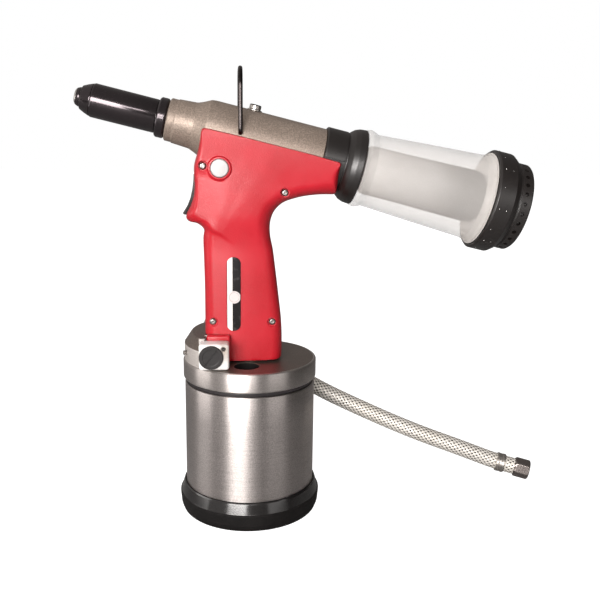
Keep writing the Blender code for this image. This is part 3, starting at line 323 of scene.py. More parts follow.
def label_look():
    """A plain plate: white along its left, black along its right, with one pale disc."""
    look = Look("label_print", specular_ior_level=0.2)
    split = look.add("SeparateXYZ", {"Vector": look.place})
    x, z = split.outputs["X"], split.outputs["Z"]
    fine = look.noise(1500.0, 3.0, 0.6)
    scuff = look.noise(220.0, 3.0, 0.6)
    dark = look.ramp(fine, (0.3, (0.004, 0.0035, 0.004)), (0.7, (0.012, 0.011, 0.011)))
    pale = look.ramp(fine, (0.3, (0.80, 0.78, 0.77)), (0.7, (0.92, 0.90, 0.89)))
    left = look.math("LESS_THAN", x, -12.05 * MM)
    plate = look.mix(left, dark, pale)
    dx = look.math("SUBTRACT", x, -10.9 * MM)
    dz = look.math("SUBTRACT", z, 154.7 * MM)
    away = look.math("SQRT", look.math("ADD", look.math("MULTIPLY", dx, dx), look.math("MULTIPLY", dz, dz)))
    disc = look.math("LESS_THAN", away, 4.15 * MM)
    ring = look.math("COMPARE", away, 3.2 * MM)
    ring.node.inputs[2].default_value = 0.12 * MM
    plate = look.mix(disc, plate, (0.66, 0.61, 0.60))
    side = look.math("ABSOLUTE", look.math("SUBTRACT", x, -11.2 * MM))
    plate = look.mix(look.math("GREATER_THAN", side, 4.2 * MM), plate, dark)
    plate = look.mix(look.math("MULTIPLY", ring, 0.7), plate, (0.25, 0.23, 0.23))
    look.colour(look.mix(look.ramp(scuff, (0.55, 0.0), (0.8, 0.2)), plate, (0.3, 0.28, 0.27)))
    look.rough(look.ramp(fine, (0.3, 0.45), (0.7, 0.6)))
    look.bump(fine, 0.00001, 0.4)
    return look.mat


def block_look():
    """Bright machined alloy with brown oil stain round its small screw."""
    look = Look("block_alloy", metallic=0.05)
    split = look.add("SeparateXYZ", {"Vector": look.place})
    dx = look.math("SUBTRACT", split.outputs["X"], -17.4 * MM)
    dz = look.math("SUBTRACT", split.outputs["Z"], 122.6 * MM)
    dz = look.math("MULTIPLY", dz, 0.62)
    away = look.math("SQRT", look.math("ADD", look.math("MULTIPLY", dx, dx), look.math("MULTIPLY", dz, dz)))
    blot = look.math("ADD", away, look.math("MULTIPLY", look.noise(520.0, 4.0, 0.65), 0.0042))
    fine = look.noise(1600.0, 3.0, 0.6)
    cut = look.noise(1.0, 3.0, 0.6, look.stretched(900.0, 900.0, 60.0))
    clean = look.ramp(fine, (0.3, (0.80, 0.79, 0.77)), (0.7, (0.93, 0.92, 0.90)))
    look.colour(look.mix(look.ramp(blot, (0.0030, 0.8), (0.0058, 0.0)), clean, (0.30, 0.21, 0.13)))
    look.rough(look.ramp(cut, (0.3, 0.26), (0.7, 0.42)))
    look.bump(cut, 0.00001, 0.5)
    return look.mat


LOOKS = {
    "can": turned_metal("can_steel", (0.40, 0.365, 0.35), (0.70, 0.65, 0.63), 0.34, 0.42, stretch=0.85),
    "cap_rim": turned_metal("cap_rim", (0.46, 0.42, 0.40), (0.70, 0.655, 0.63), 0.34, 0.42, stretch=0.85),
    "cap_cast": cast_metal("cap_cast", (0.11, 0.088, 0.075), (0.20, 0.162, 0.138), 0.34, 0.5, 1700.0, 0.00005),
    "cap_wall": turned_metal("cap_wall", (0.50, 0.46, 0.43), (0.70, 0.655, 0.625), 0.4, 0.52, metallic=0.6),
    "gasket": moulded("gasket_rubber", (0.010, 0.008, 0.009), (0.026, 0.022, 0.023), 0.4, 0.55),
    "foot": foot_rubber("foot_rubber", 0.22, 0.5, 0.66),
    "foot_band": foot_rubber("foot_band", 0.95, 0.12, 0.2),
    "casting": cast_metal("casting", (0.19, 0.15, 0.123), (0.38, 0.305, 0.25), 0.42, 0.52, 1500.0, 0.00006, 0.45),
    "tip": turned_metal("nose_steel", (0.50, 0.48, 0.46), (0.74, 0.72, 0.70), 0.2, 0.3, lines=0.000003),
    "oxide": turned_metal(
        "black_oxide", (0.004, 0.0034, 0.0036), (0.010, 0.008, 0.0085), 0.13, 0.19, metallic=0.0, lines=0.000002,
        specular=0.85, tint=(1.0, 0.88, 0.93),
    ),
    "collar": moulded("black_collar", (0.006, 0.0045, 0.004), (0.014, 0.0105, 0.0095), 0.32, 0.42, 1500.0, 0.00003, 0.85),
    "red": moulded("red_grained", (0.39, 0.003, 0.009), (0.53, 0.011, 0.024), 0.31, 0.38, 1500.0, 0.00018, 0.54),
    "black_plug": moulded("black_plug", (0.007, 0.006, 0.006), (0.02, 0.017, 0.017), 0.42, 0.55, 1500.0, 0.00004),
    "white": moulded("white_button", (0.56, 0.55, 0.545), (0.62, 0.61, 0.61), 0.25, 0.36, 1500.0, 0.00001),
    "zinc": turned_metal("bright_zinc", (0.60, 0.59, 0.58), (0.86, 0.85, 0.84), 0.16, 0.28),
    "screw": machined("screw_steel", (0.22, 0.20, 0.19), (0.42, 0.39, 0.37), 0.3),
    "wire": machined("dark_wire", (0.035, 0.03, 0.03), (0.075, 0.066, 0.064), 0.24),
    "nickel": turned_metal("dull_nickel", (0.40, 0.375, 0.35), (0.60, 0.57, 0.54), 0.26, 0.4),
    "nut": machined("nut_plate", (0.30, 0.265, 0.25), (0.44, 0.395, 0.375), 0.2),
    "crimp": turned_metal("crimp_plate", (0.50, 0.46, 0.42), (0.72, 0.69, 0.65), 0.24, 0.36),
    "brass": machined("brass", (0.48, 0.36, 0.16), (0.66, 0.52, 0.27), 0.3),
    "steel": machined("steel", (0.46, 0.45, 0.44), (0.62, 0.61, 0.60), 0.26),
    "dark": machined("dark_steel", (0.06, 0.055, 0.052), (0.13, 0.12, 0.115), 0.34),
    "trigger": moulded("trigger_enamel", (0.012, 0.010, 0.009), (0.03, 0.026, 0.024), 0.42, 0.55, 1500.0, 0.00003, 0.35),
    "bottle": frosted("frosted_bottle", 0.34),
    "bottle_inside": frosted("frosted_inside", 0.08),
    "bottle_end": frosted("frosted_end", 0.9),
    "liner": liner_look(),
    "braid": braid_look(),
    "label": label_look(),
    "block": block_look(),
    # painted shade: near-black colour for the inside of the exhaust port pocket
    "port_shade": moulded("port_painted_shade", (0.004, 0.003, 0.003), (0.012, 0.009, 0.008), 0.7, 0.85, 1500.0, 0.00005, 0.2),
    # sintered bronze silencer coloured near black: painted shade over the bronze
    "silencer_shade": cast_metal("bronze_silencer_painted_shade", (0.006, 0.005, 0.004), (0.03, 0.025, 0.018), 0.5, 0.7, 1600.0, 0.0001),
    "diffuser": cast_metal("felt_pad", (0.55, 0.54, 0.52), (0.8, 0.79, 0.77), 0.7, 0.9, 900.0, 0.00015, 0.0),
}


# ------------------------------------------------------------------ meshes

def finish_mesh(bm, name, sharp=34):
    bmesh.ops.recalc_face_normals(bm, faces=bm.faces[:])
    mesh = bpy.data.meshes.new(name)
    bm.to_mesh(mesh)
    bm.free()
    shade(mesh, sharp)
    return mesh


def shade(mesh, sharp=34):
    mesh.shade_smooth()
    mesh.set_sharp_from_angle(angle=radians(sharp))


def piece(name, mesh, look, body, nodes=(), place=None):
    """Put a finished mesh in the scene, riding on a body and standing for CAD nodes."""
    obj = bpy.data.objects.new(name, mesh)
    bpy.context.scene.collection.objects.link(obj)
    mesh.materials.clear()
    for one in (look if isinstance(look, (list, tuple)) else (look,)):
        mesh.materials.append(LOOKS[one])
    if place is not None:
        obj.matrix_world = place
    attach(obj, body)
    if nodes:
        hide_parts(*nodes)
    return obj


def rounded(rows, radius, closed, segments=3):
    """Round a profile's corners, with a supporting row just beyond each one."""
    pts = [Vector(row[:2]) for row in rows]
    count = len(pts)
    result = []
    for i, p in enumerate(pts):
        own = rows[i][2] if len(rows[i]) > 2 else radius
        if not closed and i in (0, count - 1):
            result.append(p)
            continue
        a = pts[i - 1] - p
        b = pts[(i + 1) % count] - p
        la, lb = a.length, b.length
        if min(la, lb) < 1e-6 or own <= 0.0:
            result.append(p)
            continue
        a.normalize()
        b.normalize()
        turn = pi - a.angle(b)
        if turn < radians(10):
            result.append(p)
            continue
        reach = min(own * tan(min(turn, 2.6) / 2), 0.42 * la, 0.42 * lb)
        start, end = p + a * reach, p + b * reach
        hold = min(0.12, reach * 0.5)
        if la > 2.6 * (reach + hold):
            result.append(start + a * hold)
        for k in range(segments + 1):
            t = k / segments
            result.append(start * (1 - t) ** 2 + p * (2 * t * (1 - t)) + end * t * t)
        if lb > 2.6 * (reach + hold):
            result.append(end + b * hold)
    return result


def turned(name, rows, steps=128, radius=0.3, closed=None, phase=0.0, bm=None):
    """Turn a profile of (radius, height[, corner radius]) millimetre rows about +Z."""
    if closed is None:
        closed = rows[0][0] > 1e-6 and rows[-1][0] > 1e-6
    profile = rounded(rows, radius, closed)
    keep = bm is not None
    if not keep:
        bm = bmesh.new()
    rings = []
    for p in profile:
        if p.x < 1e-6:
            rings.append([bm.verts.new((0.0, 0.0, p.y * MM))])
            continue
        rings.append([
            bm.verts.new((
                p.x * MM * cos(2 * pi * k / steps + phase), p.x * MM * sin(2 * pi * k / steps + phase), p.y * MM
            ))
            for k in range(steps)
        ])
    pairs = list(zip(rings, rings[1:]))
    if closed:
        pairs.append((rings[-1], rings[0]))
    for low, high in pairs:
        for k in range(steps):
            n = (k + 1) % steps
            if len(low) == 1 and len(high) == 1:
                continue
            if len(low) == 1:
                bm.faces.new((low[0], high[n], high[k]))
            elif len(high) == 1:
                bm.faces.new((low[k], low[n], high[0]))
            else:
                bm.faces.new((low[k], low[n], high[n], high[k]))
    if keep:
        return rings
    return finish_mesh(bm, name)


def prism(name, outline, low, high, axis="Z", edge=0.3, segments=2):
    """Extrude a closed outline of millimetre points, with rounded rims."""
    bm = bmesh.new()
    spots = {"X": lambda a, b, h: (h, a, b), "Y": lambda a, b, h: (a, h, b), "Z": lambda a, b, h: (a, b, h)}
    spot = spots[axis]
    lower = [bm.verts.new(Vector(spot(a, b, low)) * MM) for a, b in outline]
    upper = [bm.verts.new(Vector(spot(a, b, high)) * MM) for a, b in outline]
    ends = [bm.faces.new(lower), bm.faces.new(list(reversed(upper)))]
    count = len(outline)
    for i in range(count):
        j = (i + 1) % count
        bm.faces.new((lower[j], lower[i], upper[i], upper[j]))
    if edge:
        rim = {e for face in ends for e in face.edges}
        bmesh.ops.bevel(
            bm, geom=list(rim), offset=edge * MM, offset_type="OFFSET", segments=segments,
            profile=0.5, affect="EDGES", clamp_overlap=True,
        )
    return finish_mesh(bm, name)


def round_corners(points, radius, segments=4):
    """A closed 2D outline with every corner rounded."""
    return [tuple(p) for p in rounded([(x, y) for x, y in points], radius, True, segments)]


def rounded_box(name, low, high, edge, segments=3):
    bm = bmesh.new()
    bmesh.ops.create_cube(bm, size=1.0)
    size = Vector(high) - Vector(low)
    middle = (Vector(high) + Vector(low)) / 2
    for vert in bm.verts:
        vert.co = Vector((vert.co.x * size.x, vert.co.y * size.y, vert.co.z * size.z)) * MM + middle * MM
    if edge:
        bmesh.ops.bevel(
            bm, geom=bm.edges[:], offset=edge * MM, offset_type="OFFSET", segments=segments,
            profile=0.5, affect="EDGES", clamp_overlap=True,
        )
    return finish_mesh(bm, name)


def rod(start, end, radius, steps=32, last=None, rows=None):
    """A plain cylinder or cone between two millimetre points, for cutting with."""
    start, end = Vector(start), Vector(end)
    length = (end - start).length
    profile = rows or ((0.0, 0.0), (radius, 0.0), (radius if last is None else last, length), (0.0, length))
    bm = bmesh.new()
    turned("rod", [(*row[:2], 0.0) for row in profile], steps, 0.0, False, 0.037, bm)
    turn = Vector((0, 0, 1)).rotation_difference(end - start).to_matrix().to_4x4()
    bmesh.ops.transform(bm, matrix=Matrix.Translation(start * MM) @ turn, verts=bm.verts[:])
    return finish_mesh(bm, "rod")


def joined(meshes):
    bm = bmesh.new()
    for mesh in meshes:
        bm.from_mesh(mesh)
    return finish_mesh(bm, "joined")


def shaped(mesh, tools, operation="DIFFERENCE"):
    """Boolean each tool mesh into a mesh, and return the result."""
    target = bpy.data.objects.new("target", mesh)
    bpy.context.scene.collection.objects.link(target)
    for tool in tools:
        other = bpy.data.objects.new("tool", tool)
        bpy.context.scene.collection.objects.link(other)
        change = target.modifiers.new("shape", "BOOLEAN")
        change.operation = operation
        change.solver = "EXACT"
        change.object = other
        graph = bpy.context.evaluated_depsgraph_get()
        graph.update()
        baked = bpy.data.meshes.new_from_object(target.evaluated_get(graph), depsgraph=graph)
        target.modifiers.clear()
        target.data = baked
        bpy.data.objects.remove(other, do_unlink=True)
        bpy.data.meshes.remove(tool)
    result = target.data
    bpy.data.objects.remove(target, do_unlink=True)
    bm = bmesh.new()
    bm.from_mesh(result)
    bmesh.ops.remove_doubles(bm, verts=bm.verts[:], dist=2e-7)
    bm.to_mesh(result)
    bm.free()
    result.materials.clear()
    shade(result)
    return result


def tube(name, points, radius, steps=24, closed=False, ends=True):
    """A round bar along a path of points in metres."""
    bm = bmesh.new()
    rings = sweep(bm, points, lambda k, i: radius, steps)
    if ends:
        bm.faces.new(list(reversed(rings[0])))
        bm.faces.new(rings[-1])
    return finish_mesh(bm, name)


def sweep(bm, points, reach, steps):
    count = len(points)
    tangents = [(points[min(i + 1, count - 1)] - points[max(i - 1, 0)]).normalized() for i in range(count)]
    side = tangents[0].orthogonal().normalized()
    rings = []
    for i in range(count):
        side = (side - tangents[i] * side.dot(tangents[i])).normalized()
        other = tangents[i].cross(side)
        ring = []
        for k in range(steps):
            angle = 2 * pi * k / steps
            ring.append(bm.verts.new(points[i] + (side * cos(angle) + other * sin(angle)) * reach(k, i)))
        rings.append(ring)
    for low, high in zip(rings, rings[1:]):
        for k in range(steps):
            n = (k + 1) % steps
            bm.faces.new((low[k], low[n], high[n], high[k]))
    return rings


def eased(t):
    t = min(max(t, 0.0), 1.0)
    return t * t * (3 - 2 * t)


def barrel_point(s, h=0.0, y=0.0):
    """World millimetres at distance s along the barrel axis and h above it."""
    return Vector((BARREL_X + s * cos(TILT) + h * sin(TILT), y, BARREL_Z - s * sin(TILT) + h * cos(TILT)))


def along_axis(place, direction):
    """A matrix that stands +Z at a millimetre place, pointing along a direction."""
    turn = Vector((0, 0, 1)).rotation_difference(Vector(direction))
    return Matrix.Translation(Vector(place) * MM) @ turn.to_matrix().to_4x4()


# ------------------------------------------------------------------ hose

HOSE_ROUTE = (
    (-12.0, 57.0, 108.0), (20.0, 57.4, 88.0), (54.9, 56.1, 66.6), (92.4, 50.0, 49.3),
    (129.8, 42.3, 34.4), (167.1, 35.0, 21.8), (206.2, 26.1, 10.0),
)
HOSE_END_DIR = Vector((0.935, -0.300, -0.190)).normalized()
HOSE_R = 6.2
STRANDS = 13
WEAVE_PITCH = 3.9


def curve_through(points, per_span):
    """Catmull-Rom points through the given ones, end points kept."""
    pts = [Vector(p) for p in points]
    pts.insert(0, pts[0] * 2 - pts[1])
    pts.append(pts[-1] * 2 - pts[-2])
    result = []
    for i in range(1, len(pts) - 2):
        for k in range(per_span):
            t = k / per_span
            a = pts[i] * 2
            b = (pts[i + 1] - pts[i - 1]) * t
            c = (pts[i - 1] * 2 - pts[i] * 5 + pts[i + 1] * 4 - pts[i + 2]) * t * t
            d = (pts[i] * 3 - pts[i - 1] - pts[i + 1] * 3 + pts[i + 2]) * t * t * t
            result.append((a + b + c + d) * 0.5)
    result.append(pts[-2].copy())
    return result


def resampled(points, step):
    """Evenly spaced points along a polyline, both ends kept."""
    total = sum((b - a).length for a, b in zip(points, points[1:]))
    count = max(2, round(total / step))
    spacing = total / count
    result = [points[0].copy()]
    left = spacing
    for a, b in zip(points, points[1:]):
        run = (b - a).length
        at = 0.0
        while run - at >= left - 1e-9 and len(result) < count:
            at += left
            result.append(a + (b - a) * (at / run))
            left = spacing
        left -= run - at
    result.append(points[-1].copy())
    return result


def hose_centre():
    route = [Vector(p) for p in HOSE_ROUTE]
    first = (route[0] - Vector((VALVE_X, 57.0, VALVE_Z))).normalized()
    start = route[0] + first * 9.0
    finish = route[-1] - HOSE_END_DIR * 16.0
    line = [route[0]] + curve_through([start] + route[1:-1] + [finish], 10) + [route[-1]]
    line = resampled(line, 4.0)
    for _ in range(6):
        inner = [(a + b * 2 + c) / 4 for a, b, c in zip(line[1:], line[2:], line[3:])]
        line = line[:2] + inner[:-1] + line[-2:] if len(inner) > 1 else line
    return line


def make_hose():
    coarse = hose_centre()
    fine = resampled(curve_through(coarse, 10), 0.36)
    points = [p * MM for p in fine]
    steps = 130
    run = [0.0]
    for a, b in zip(fine, fine[1:]):
        run.append(run[-1] + (b - a).length)

    def reach(k, i):
        around = STRANDS * k / steps
        along = run[i] / WEAVE_PITCH
        a, b = around + along, around - along
        heights = []
        for mine, cross in ((a, b), (b, a)):
            body = cos(pi * (mine - floor(mine) - 0.5)) ** 0.6
            over = cos(pi * (cross + floor(mine) + (0.0 if mine is a else 1.0)) - pi / 2)
            heights.append(0.22 * body + 0.12 * over * body)
        return (HOSE_R - 0.26 + max(heights)) * MM

    bm = bmesh.new()
    rings = sweep(bm, points, reach, steps)
    caps = [bm.faces.new(list(reversed(rings[0]))), bm.faces.new(rings[-1])]
    layer = bm.loops.layers.uv.new("weave")
    bm.verts.index_update()
    for face in bm.faces:
        if face in caps:
            continue
        columns = [loop.vert.index % steps for loop in face.loops]
        wrap = max(columns) - min(columns) > steps / 2
        for loop, column in zip(face.loops, columns):
            row = loop.vert.index // steps
            if wrap and column < steps / 2:
                column += steps
            loop[layer].uv = (STRANDS * column / steps, run[row] / WEAVE_PITCH)
    mesh = finish_mesh(bm, "air_hose_braid", 80)
    hose = piece("air_hose_braid", mesh, "braid", "tool", ["air_hose"])

    start = fine[0]
    ahead = (fine[12] - fine[0]).normalized()
    ferrule_rows = [
        (6.35, 0.2), (7.3, 0.2), (7.3, 3.0), (6.75, 3.6), (6.75, 5.0), (7.25, 5.6), (7.2, 8.6), (6.7, 9.2),
        (6.7, 10.6), (7.15, 11.2), (7.1, 14.0), (6.75, 19.6), (6.35, 20.2),
    ]
    sleeve = bmesh.new()
    rings = turned("ferrule", ferrule_rows, 72, 0.25, True, 0.0, sleeve)
    frames = [points[0]]
    # bend the ferrule along the hose so that it hugs it
    lengths = [r for r in run]
    for vert in sleeve.verts:
        z = vert.co.z / MM
        index = min(range(0, 90), key=lambda i: abs(lengths[i] - z))
        here = fine[index]
        tangent = (fine[index + 1] - fine[max(index - 1, 0)]).normalized()
        turn = Vector((0, 0, 1)).rotation_difference(tangent)
        vert.co = (here * MM) + turn @ Vector((vert.co.x, vert.co.y, (z - lengths[index]) * MM))
    ferrule = piece("hose_ferrule", finish_mesh(sleeve, "hose_ferrule"), "crimp", "tool", ())

    end = Vector(HOSE_ROUTE[-1])
    up = (Vector((0, 0, 1)) - HOSE_END_DIR * HOSE_END_DIR.z).normalized()
    side = up.cross(HOSE_END_DIR)
    basis = Matrix((side, up, HOSE_END_DIR)).transposed().to_4x4()
    crimp_rows = [
        (6.4, -3.3), (6.95, -3.3), (7.25, -2.6), (7.25, -1.2), (7.1, -0.9), (7.1, 0.9), (7.25, 1.2), (7.25, 2.6),
        (6.95, 3.3), (6.4, 3.3),
    ]
    crimp = piece(
        "crimp_ring", turned("crimp_ring", crimp_rows, 96, 0.2), "crimp", "tool", ["hose_crimp_ring"],
        Matrix.Translation((end - HOSE_END_DIR * 10.5) * MM) @ basis,
    )
    nut = piece(
        "swivel_nut", swivel_nut(), "nut", "tool", ["hose_nut"],
        Matrix.Translation((end + HOSE_END_DIR * GAP) * MM) @ basis,
    )
    [p * MM for p in resampled(fine, 6.0)]


def swivel_nut():
    """A hexagon whose corners are turned off at both ends, bored and threaded."""
    flats, length, turn = 13.6, 11.4, radians(16.5)
    outer = flats / sqrt(3.0)
    steps = 144
    bm = bmesh.new()
    heights = [(0.0, 1.35), (0.25, 0.95), (0.7, 0.45), (1.3, 0.12), (2.2, 0.0), (9.2, 0.0), (10.1, 0.12),
               (10.7, 0.45), (11.15, 0.95), (11.4, 1.35)]

    def corner(angle, cut):
        local = (angle - turn + pi / 6) % (pi / 3) - pi / 6
        flat = flats / 2 / cos(local - 0.0) if False else flats / 2 / cos(((angle - turn) % (pi / 3)) - pi / 6)
        return min(flat, outer - 0.35, outer - cut) if cut < 9 else flat

    rings = []
    for z, cut in heights:
        rings.append([
            bm.verts.new((
                corner(2 * pi * k / steps, cut) * cos(2 * pi * k / steps) * MM,
                corner(2 * pi * k / steps, cut) * sin(2 * pi * k / steps) * MM, z * MM,
            ))
            for k in range(steps)
        ])
    bore = [(5.6, 11.4), (5.0, 10.8)]
    z = 10.6
    while z > 3.6:
        bore += [(4.55, z - 0.25), (4.55, z - 0.4), (4.95, z - 0.8), (4.95, z - 0.95)]
        z -= 1.2
    bore += [(4.5, 3.0), (0.0, 3.0)]
    for r, height in bore:
        if r < 1e-6:
            rings.append([bm.verts.new((0.0, 0.0, height * MM))])
            continue
        rings.append([
            bm.verts.new((r * MM * cos(2 * pi * k / steps), r * MM * sin(2 * pi * k / steps), height * MM))
            for k in range(steps)
        ])
    for low, high in zip(rings, rings[1:]):
        for k in range(steps):
            n = (k + 1) % steps
            if len(high) == 1:
                bm.faces.new((low[k], low[n], high[0]))
            else:
                bm.faces.new((low[k], low[n], high[n], high[k]))
    bm.faces.new(list(reversed(rings[0])))
    return finish_mesh(bm, "swivel_nut", 24)


make_hose()


# ------------------------------------------------------------------ base

def make_base():
    foot = [
        (0.0, 0.0), (44.2, 0.0), (45.0, 0.9, 0.5), (45.9, 0.9, 0.5), (47.2, 1.3, 1.0), (48.6, 5.0, 4.0),
        (49.2, 11.6, 1.5), (49.2, 12.75, 0.35), (48.45, 13.35, 0.3), (46.5, 19.9, 0.9), (45.9, 20.9, 0.4),
        (45.15, 20.9, 0.3), (45.15, 4.0), (0.0, 4.0),
    ]
    mesh = turned("foot_moulding", foot, 192)
    piece("foot_moulding", mesh, ("foot", "foot_band"), "tool", ["rubber_foot"])
    for face in mesh.polygons:
        face.material_index = 1 if face.center.z > 13.2 * MM and face.normal.z < 0.8 else 0
    can = [
        (42.0, 9.2), (44.9, 9.2), (44.9, 40.0, 0.0), (44.9, 70.0, 0.0), (44.9, 92.5, 0.0), (44.5, 93.3, 0.35),
        (42.0, 93.3),
    ]
    piece("can_wall", turned("can_wall", can, 192, 0.35), "can", "tool", ["can_cylinder"])
    seal = [(42.0, 93.6), (43.7, 93.6), (44.0, 94.2), (44.0, 95.7), (43.7, 96.3), (42.0, 96.3)]
    piece("seal_band", turned("seal_band", seal, 160, 0.3), "gasket", "tool", ["cap_gasket"])


def housing_outline(inset):
    """Plan of the valve housing; inset pulls its round side in."""
    radius = 44.9 - inset
    points = []
    top, low = radians(133.3), radians(220.2)
    for k in range(61):
        angle = top + (low - top) * k / 60
        points.append((radius * cos(angle), radius * sin(angle)))
    points += [(-34.3, -24.1), (-30.8, -24.1), (-30.8, -15.2), (-13.9, -15.2), (-13.9, 15.2), (-30.8, 15.2)]
    return points


def make_cap():
    disc = [
        (13.3, 90.0), (41.7, 90.0), (41.7, 96.6), (45.4, 96.6), (45.9, 97.3, 0.3), (45.9, 108.3, 0.0),
        (45.55, 108.95, 0.3), (44.9, 109.4, 0.3), (44.0, 109.4, 0.0), (13.3, 109.4),
    ]
    cap = turned("cap_body", disc, 192, 0.25)
    bm = bmesh.new()
    rings = []
    levels = [(108.8, 0.0), (110.0, 0.0), (119.8, 0.0), (120.6, 0.12), (121.2, 0.55), (122.0, 1.1), (126.9, 4.3),
              (127.5, 4.75), (127.9, 5.3), (128.0, 6.0)]
    for z, inset in levels:
        rings.append([bm.verts.new((x * MM, y * MM, z * MM)) for x, y in housing_outline(inset)])
    count = len(rings[0])
    for low, high in zip(rings, rings[1:]):
        for k in range(count):
            n = (k + 1) % count
            bm.faces.new((low[k], low[n], high[n], high[k]))
    ends = [bm.faces.new(list(reversed(rings[0]))), bm.faces.new(rings[-1])]
    bm.normal_update()
    bmesh.ops.triangulate(bm, faces=ends)
    housing = finish_mesh(bm, "housing")
    cap = shaped(cap, [housing], "UNION")
    cutters = [
        rod((VALVE_X, -40.0, VALVE_Z), (VALVE_X, -20.0, VALVE_Z), 5.9),
        rod((VALVE_X, -20.5, VALVE_Z), (VALVE_X, 20.0, VALVE_Z), 4.5),
        rod((-2.9, -25.6, 100.0), (-2.9, -25.6, 112.0), 8.4, 64,
            rows=((0.0, 0.0), (8.4, 0.0), (8.4, 8.9), (9.0, 9.5), (9.0, 12.0), (0.0, 12.0))),
        rod((-41.5, -12.0, 115.5), (-52.0, -15.0, 115.5), 2.0, 24),
    ]
    cap = shaped(cap, cutters)
    part = piece("cap_casting", cap, ("cap_rim", "cap_cast", "cap_wall", "port_shade"), "tool", ["top_cap"])
    for face in cap.polygons:
        c = face.center / MM
        n = face.normal
        radius = hypot(c.x, c.y)
        # faces inside the exhaust port pocket take the near-black painted shade
        if hypot(c.x + 2.9, c.y + 25.6) < 8.7 and c.z < 109.0:
            face.material_index = 3
        elif c.z <= 109.45 and radius > 44.2:
            face.material_index = 0
        elif n.z > 0.35 or radius < 44.0 and c.z < 109.6:
            face.material_index = 1
        else:
            face.material_index = 2
    return part


def screw_mesh(name, head_r, head_h, shank_r, shank_l, recess="torx", steps=48):
    """A screw whose head stands on z = 0, with a socket in it."""
    rows = [
        (0.0, -shank_l), (shank_r, -shank_l), (shank_r, 0.0), (head_r, 0.0), (head_r, head_h * 0.45, 0.4),
        (head_r * 0.74, head_h * 0.93, 0.5), (head_r * 0.4, head_h), (0.0, head_h),
    ]
    mesh = turned(name, rows, steps, 0.15)
    outline = []
    for k in range(36):
        angle = 2 * pi * k / 36
        if recess == "torx":
            r = head_r * (0.46 + 0.08 * cos(6 * angle))
        else:
            r = head_r * 0.5 / cos((angle + pi / 6) % (pi / 3) - pi / 6)
        outline.append((r * cos(angle), r * sin(angle)))
    tool = prism("socket", outline, head_h * 0.25, head_h + 1.0, "Z", 0.0)
    return shaped(mesh, [tool])


def make_cap_fittings():
    start = Vector((-41.5, -12.0, 115.5))
    out = (Vector((-52.0, -15.0, 115.5)) - start).normalized()
    knob = [
        (0.0, -3.2), (1.3, -3.2), (1.3, 0.0), (1.55, 0.0), (1.7, 0.2), (1.7, 0.5, 0.3), (1.2, 0.9, 0.6), (0.0, 1.0),
    ]
    piece(
        "side_plug", turned("side_plug", knob, 40, 0.15), "screw", "tool", ["cap_side_screw"],
        along_axis(start + out * 3.0, out),
    )
    block = rounded_box("block", (-34.0, -36.8, 109.7), (-14.4, -24.4, 127.0), 1.9, 5)
    spigot = rod((VALVE_X, -26.4, VALVE_Z), (VALVE_X, -15.5, VALVE_Z), 5.6, 48)
    block = shaped(block, [spigot], "UNION")
    block = shaped(block, [
        rod((VALVE_X, -33.0, VALVE_Z), (VALVE_X, 0.0, VALVE_Z), 4.5, 48),
        rod((VALVE_X, -38.8, VALVE_Z), (VALVE_X, -32.6, VALVE_Z), 6.5, 64),
        rod((-18.1, -32.9, 123.9), (-18.1, -40.0, 123.9), 1.5, 32,
            rows=((0.0, 0.0), (1.5, 0.0), (1.5, 3.6), (1.95, 3.95), (1.95, 6.0), (0.0, 6.0))),
    ])
    piece("end_block", block, "block", "tool", ["valve_block"])
    plug = [
        (0.0, -3.9), (6.2, -3.9), (6.2, 0.0), (7.9, 0.0), (7.9, 0.95, 0.35), (7.5, 1.3, 0.3), (5.6, 1.3, 0.2),
        (5.3, 1.18, 0.2), (0.0, 1.18),
    ]
    mesh = turned("plug", plug, 96, 0.25)
    slot = rounded_box("slot", (-6.6, -0.42, 0.5), (6.6, 0.42, 3.0), 0.0)
    mesh = shaped(mesh, [slot])
    place = Matrix.Translation(Vector((VALVE_X, -37.1, VALVE_Z)) * MM) @ Matrix.Rotation(pi / 2, 4, "X")
    place = place @ Matrix.Rotation(radians(52), 4, "Z")
    piece("slotted_plug", mesh, "black_plug", "tool", ["valve_plug"], place)


make_base()
make_cap()
make_cap_fittings()


# ------------------------------------------------------------------ barrel

def make_casting():
    neck, bore = 9.6, 14.0
    rows = [
        (neck, -67.4), (13.0, -67.4), (13.8, -66.7, 0.5), (13.8, -62.7, 0.35), (14.2, -62.1, 0.3), (15.0, -50.5, 6.0),
        (16.6, -46.5, 5.0), (18.9, -42.0, 4.0), (19.2, -39.0, 5.0), (19.2, -10.0, 0.0), (19.2, 35.0, 0.3),
        (17.6, 35.0), (17.6, 60.5), (bore, 60.5), (bore, -40.0), (neck, -40.0),
    ]
    body = turned("casting_body", rows, 144, 0.3)
    body.transform(BARREL)
    column = [
        rod((0, 0, 99.0), (0, 0, 246.5), 10.0, 48),
        rod((0, 0, 99.0), (0, 0, 114.0), 13.0, 48),
        rod((-24.0, 0, 220.0), (0, 0, 220.0), 5.0, 32),
        prism("web", ((-24, 226), (22, 226), (34, 236), (-24, 247)), -5.0, 5.0, "Y", 0.0),
    ]
    body = shaped(body, column, "UNION")
    cutters = [
        rod(barrel_point(-39.9), barrel_point(70.0), bore, 64),
        rod((0, 0, 94.0), (0, 0, 214.0), 7.2, 48),
        rod((-30.0, 0, 220.0), (-13.6, 0, 220.0), 1.7, 16),
        rod(barrel_point(-14.0, 12.0), barrel_point(-14.0, 30.0), 2.6, 24),
        rod(barrel_point(-14.0, BARREL_R - 0.6), barrel_point(-14.0, 30.0), 5.4, 48),
        rod((HOOK_X, -30.0, HOOK_Z), (HOOK_X, -15.8, HOOK_Z), 1.6, 24),
        rod((HOOK_X, 15.8, HOOK_Z), (HOOK_X, 30.0, HOOK_Z), 1.6, 24),
    ]
    body = shaped(body, cutters)
    piece("casting_body", body, "casting", "tool", ["head_casting"])


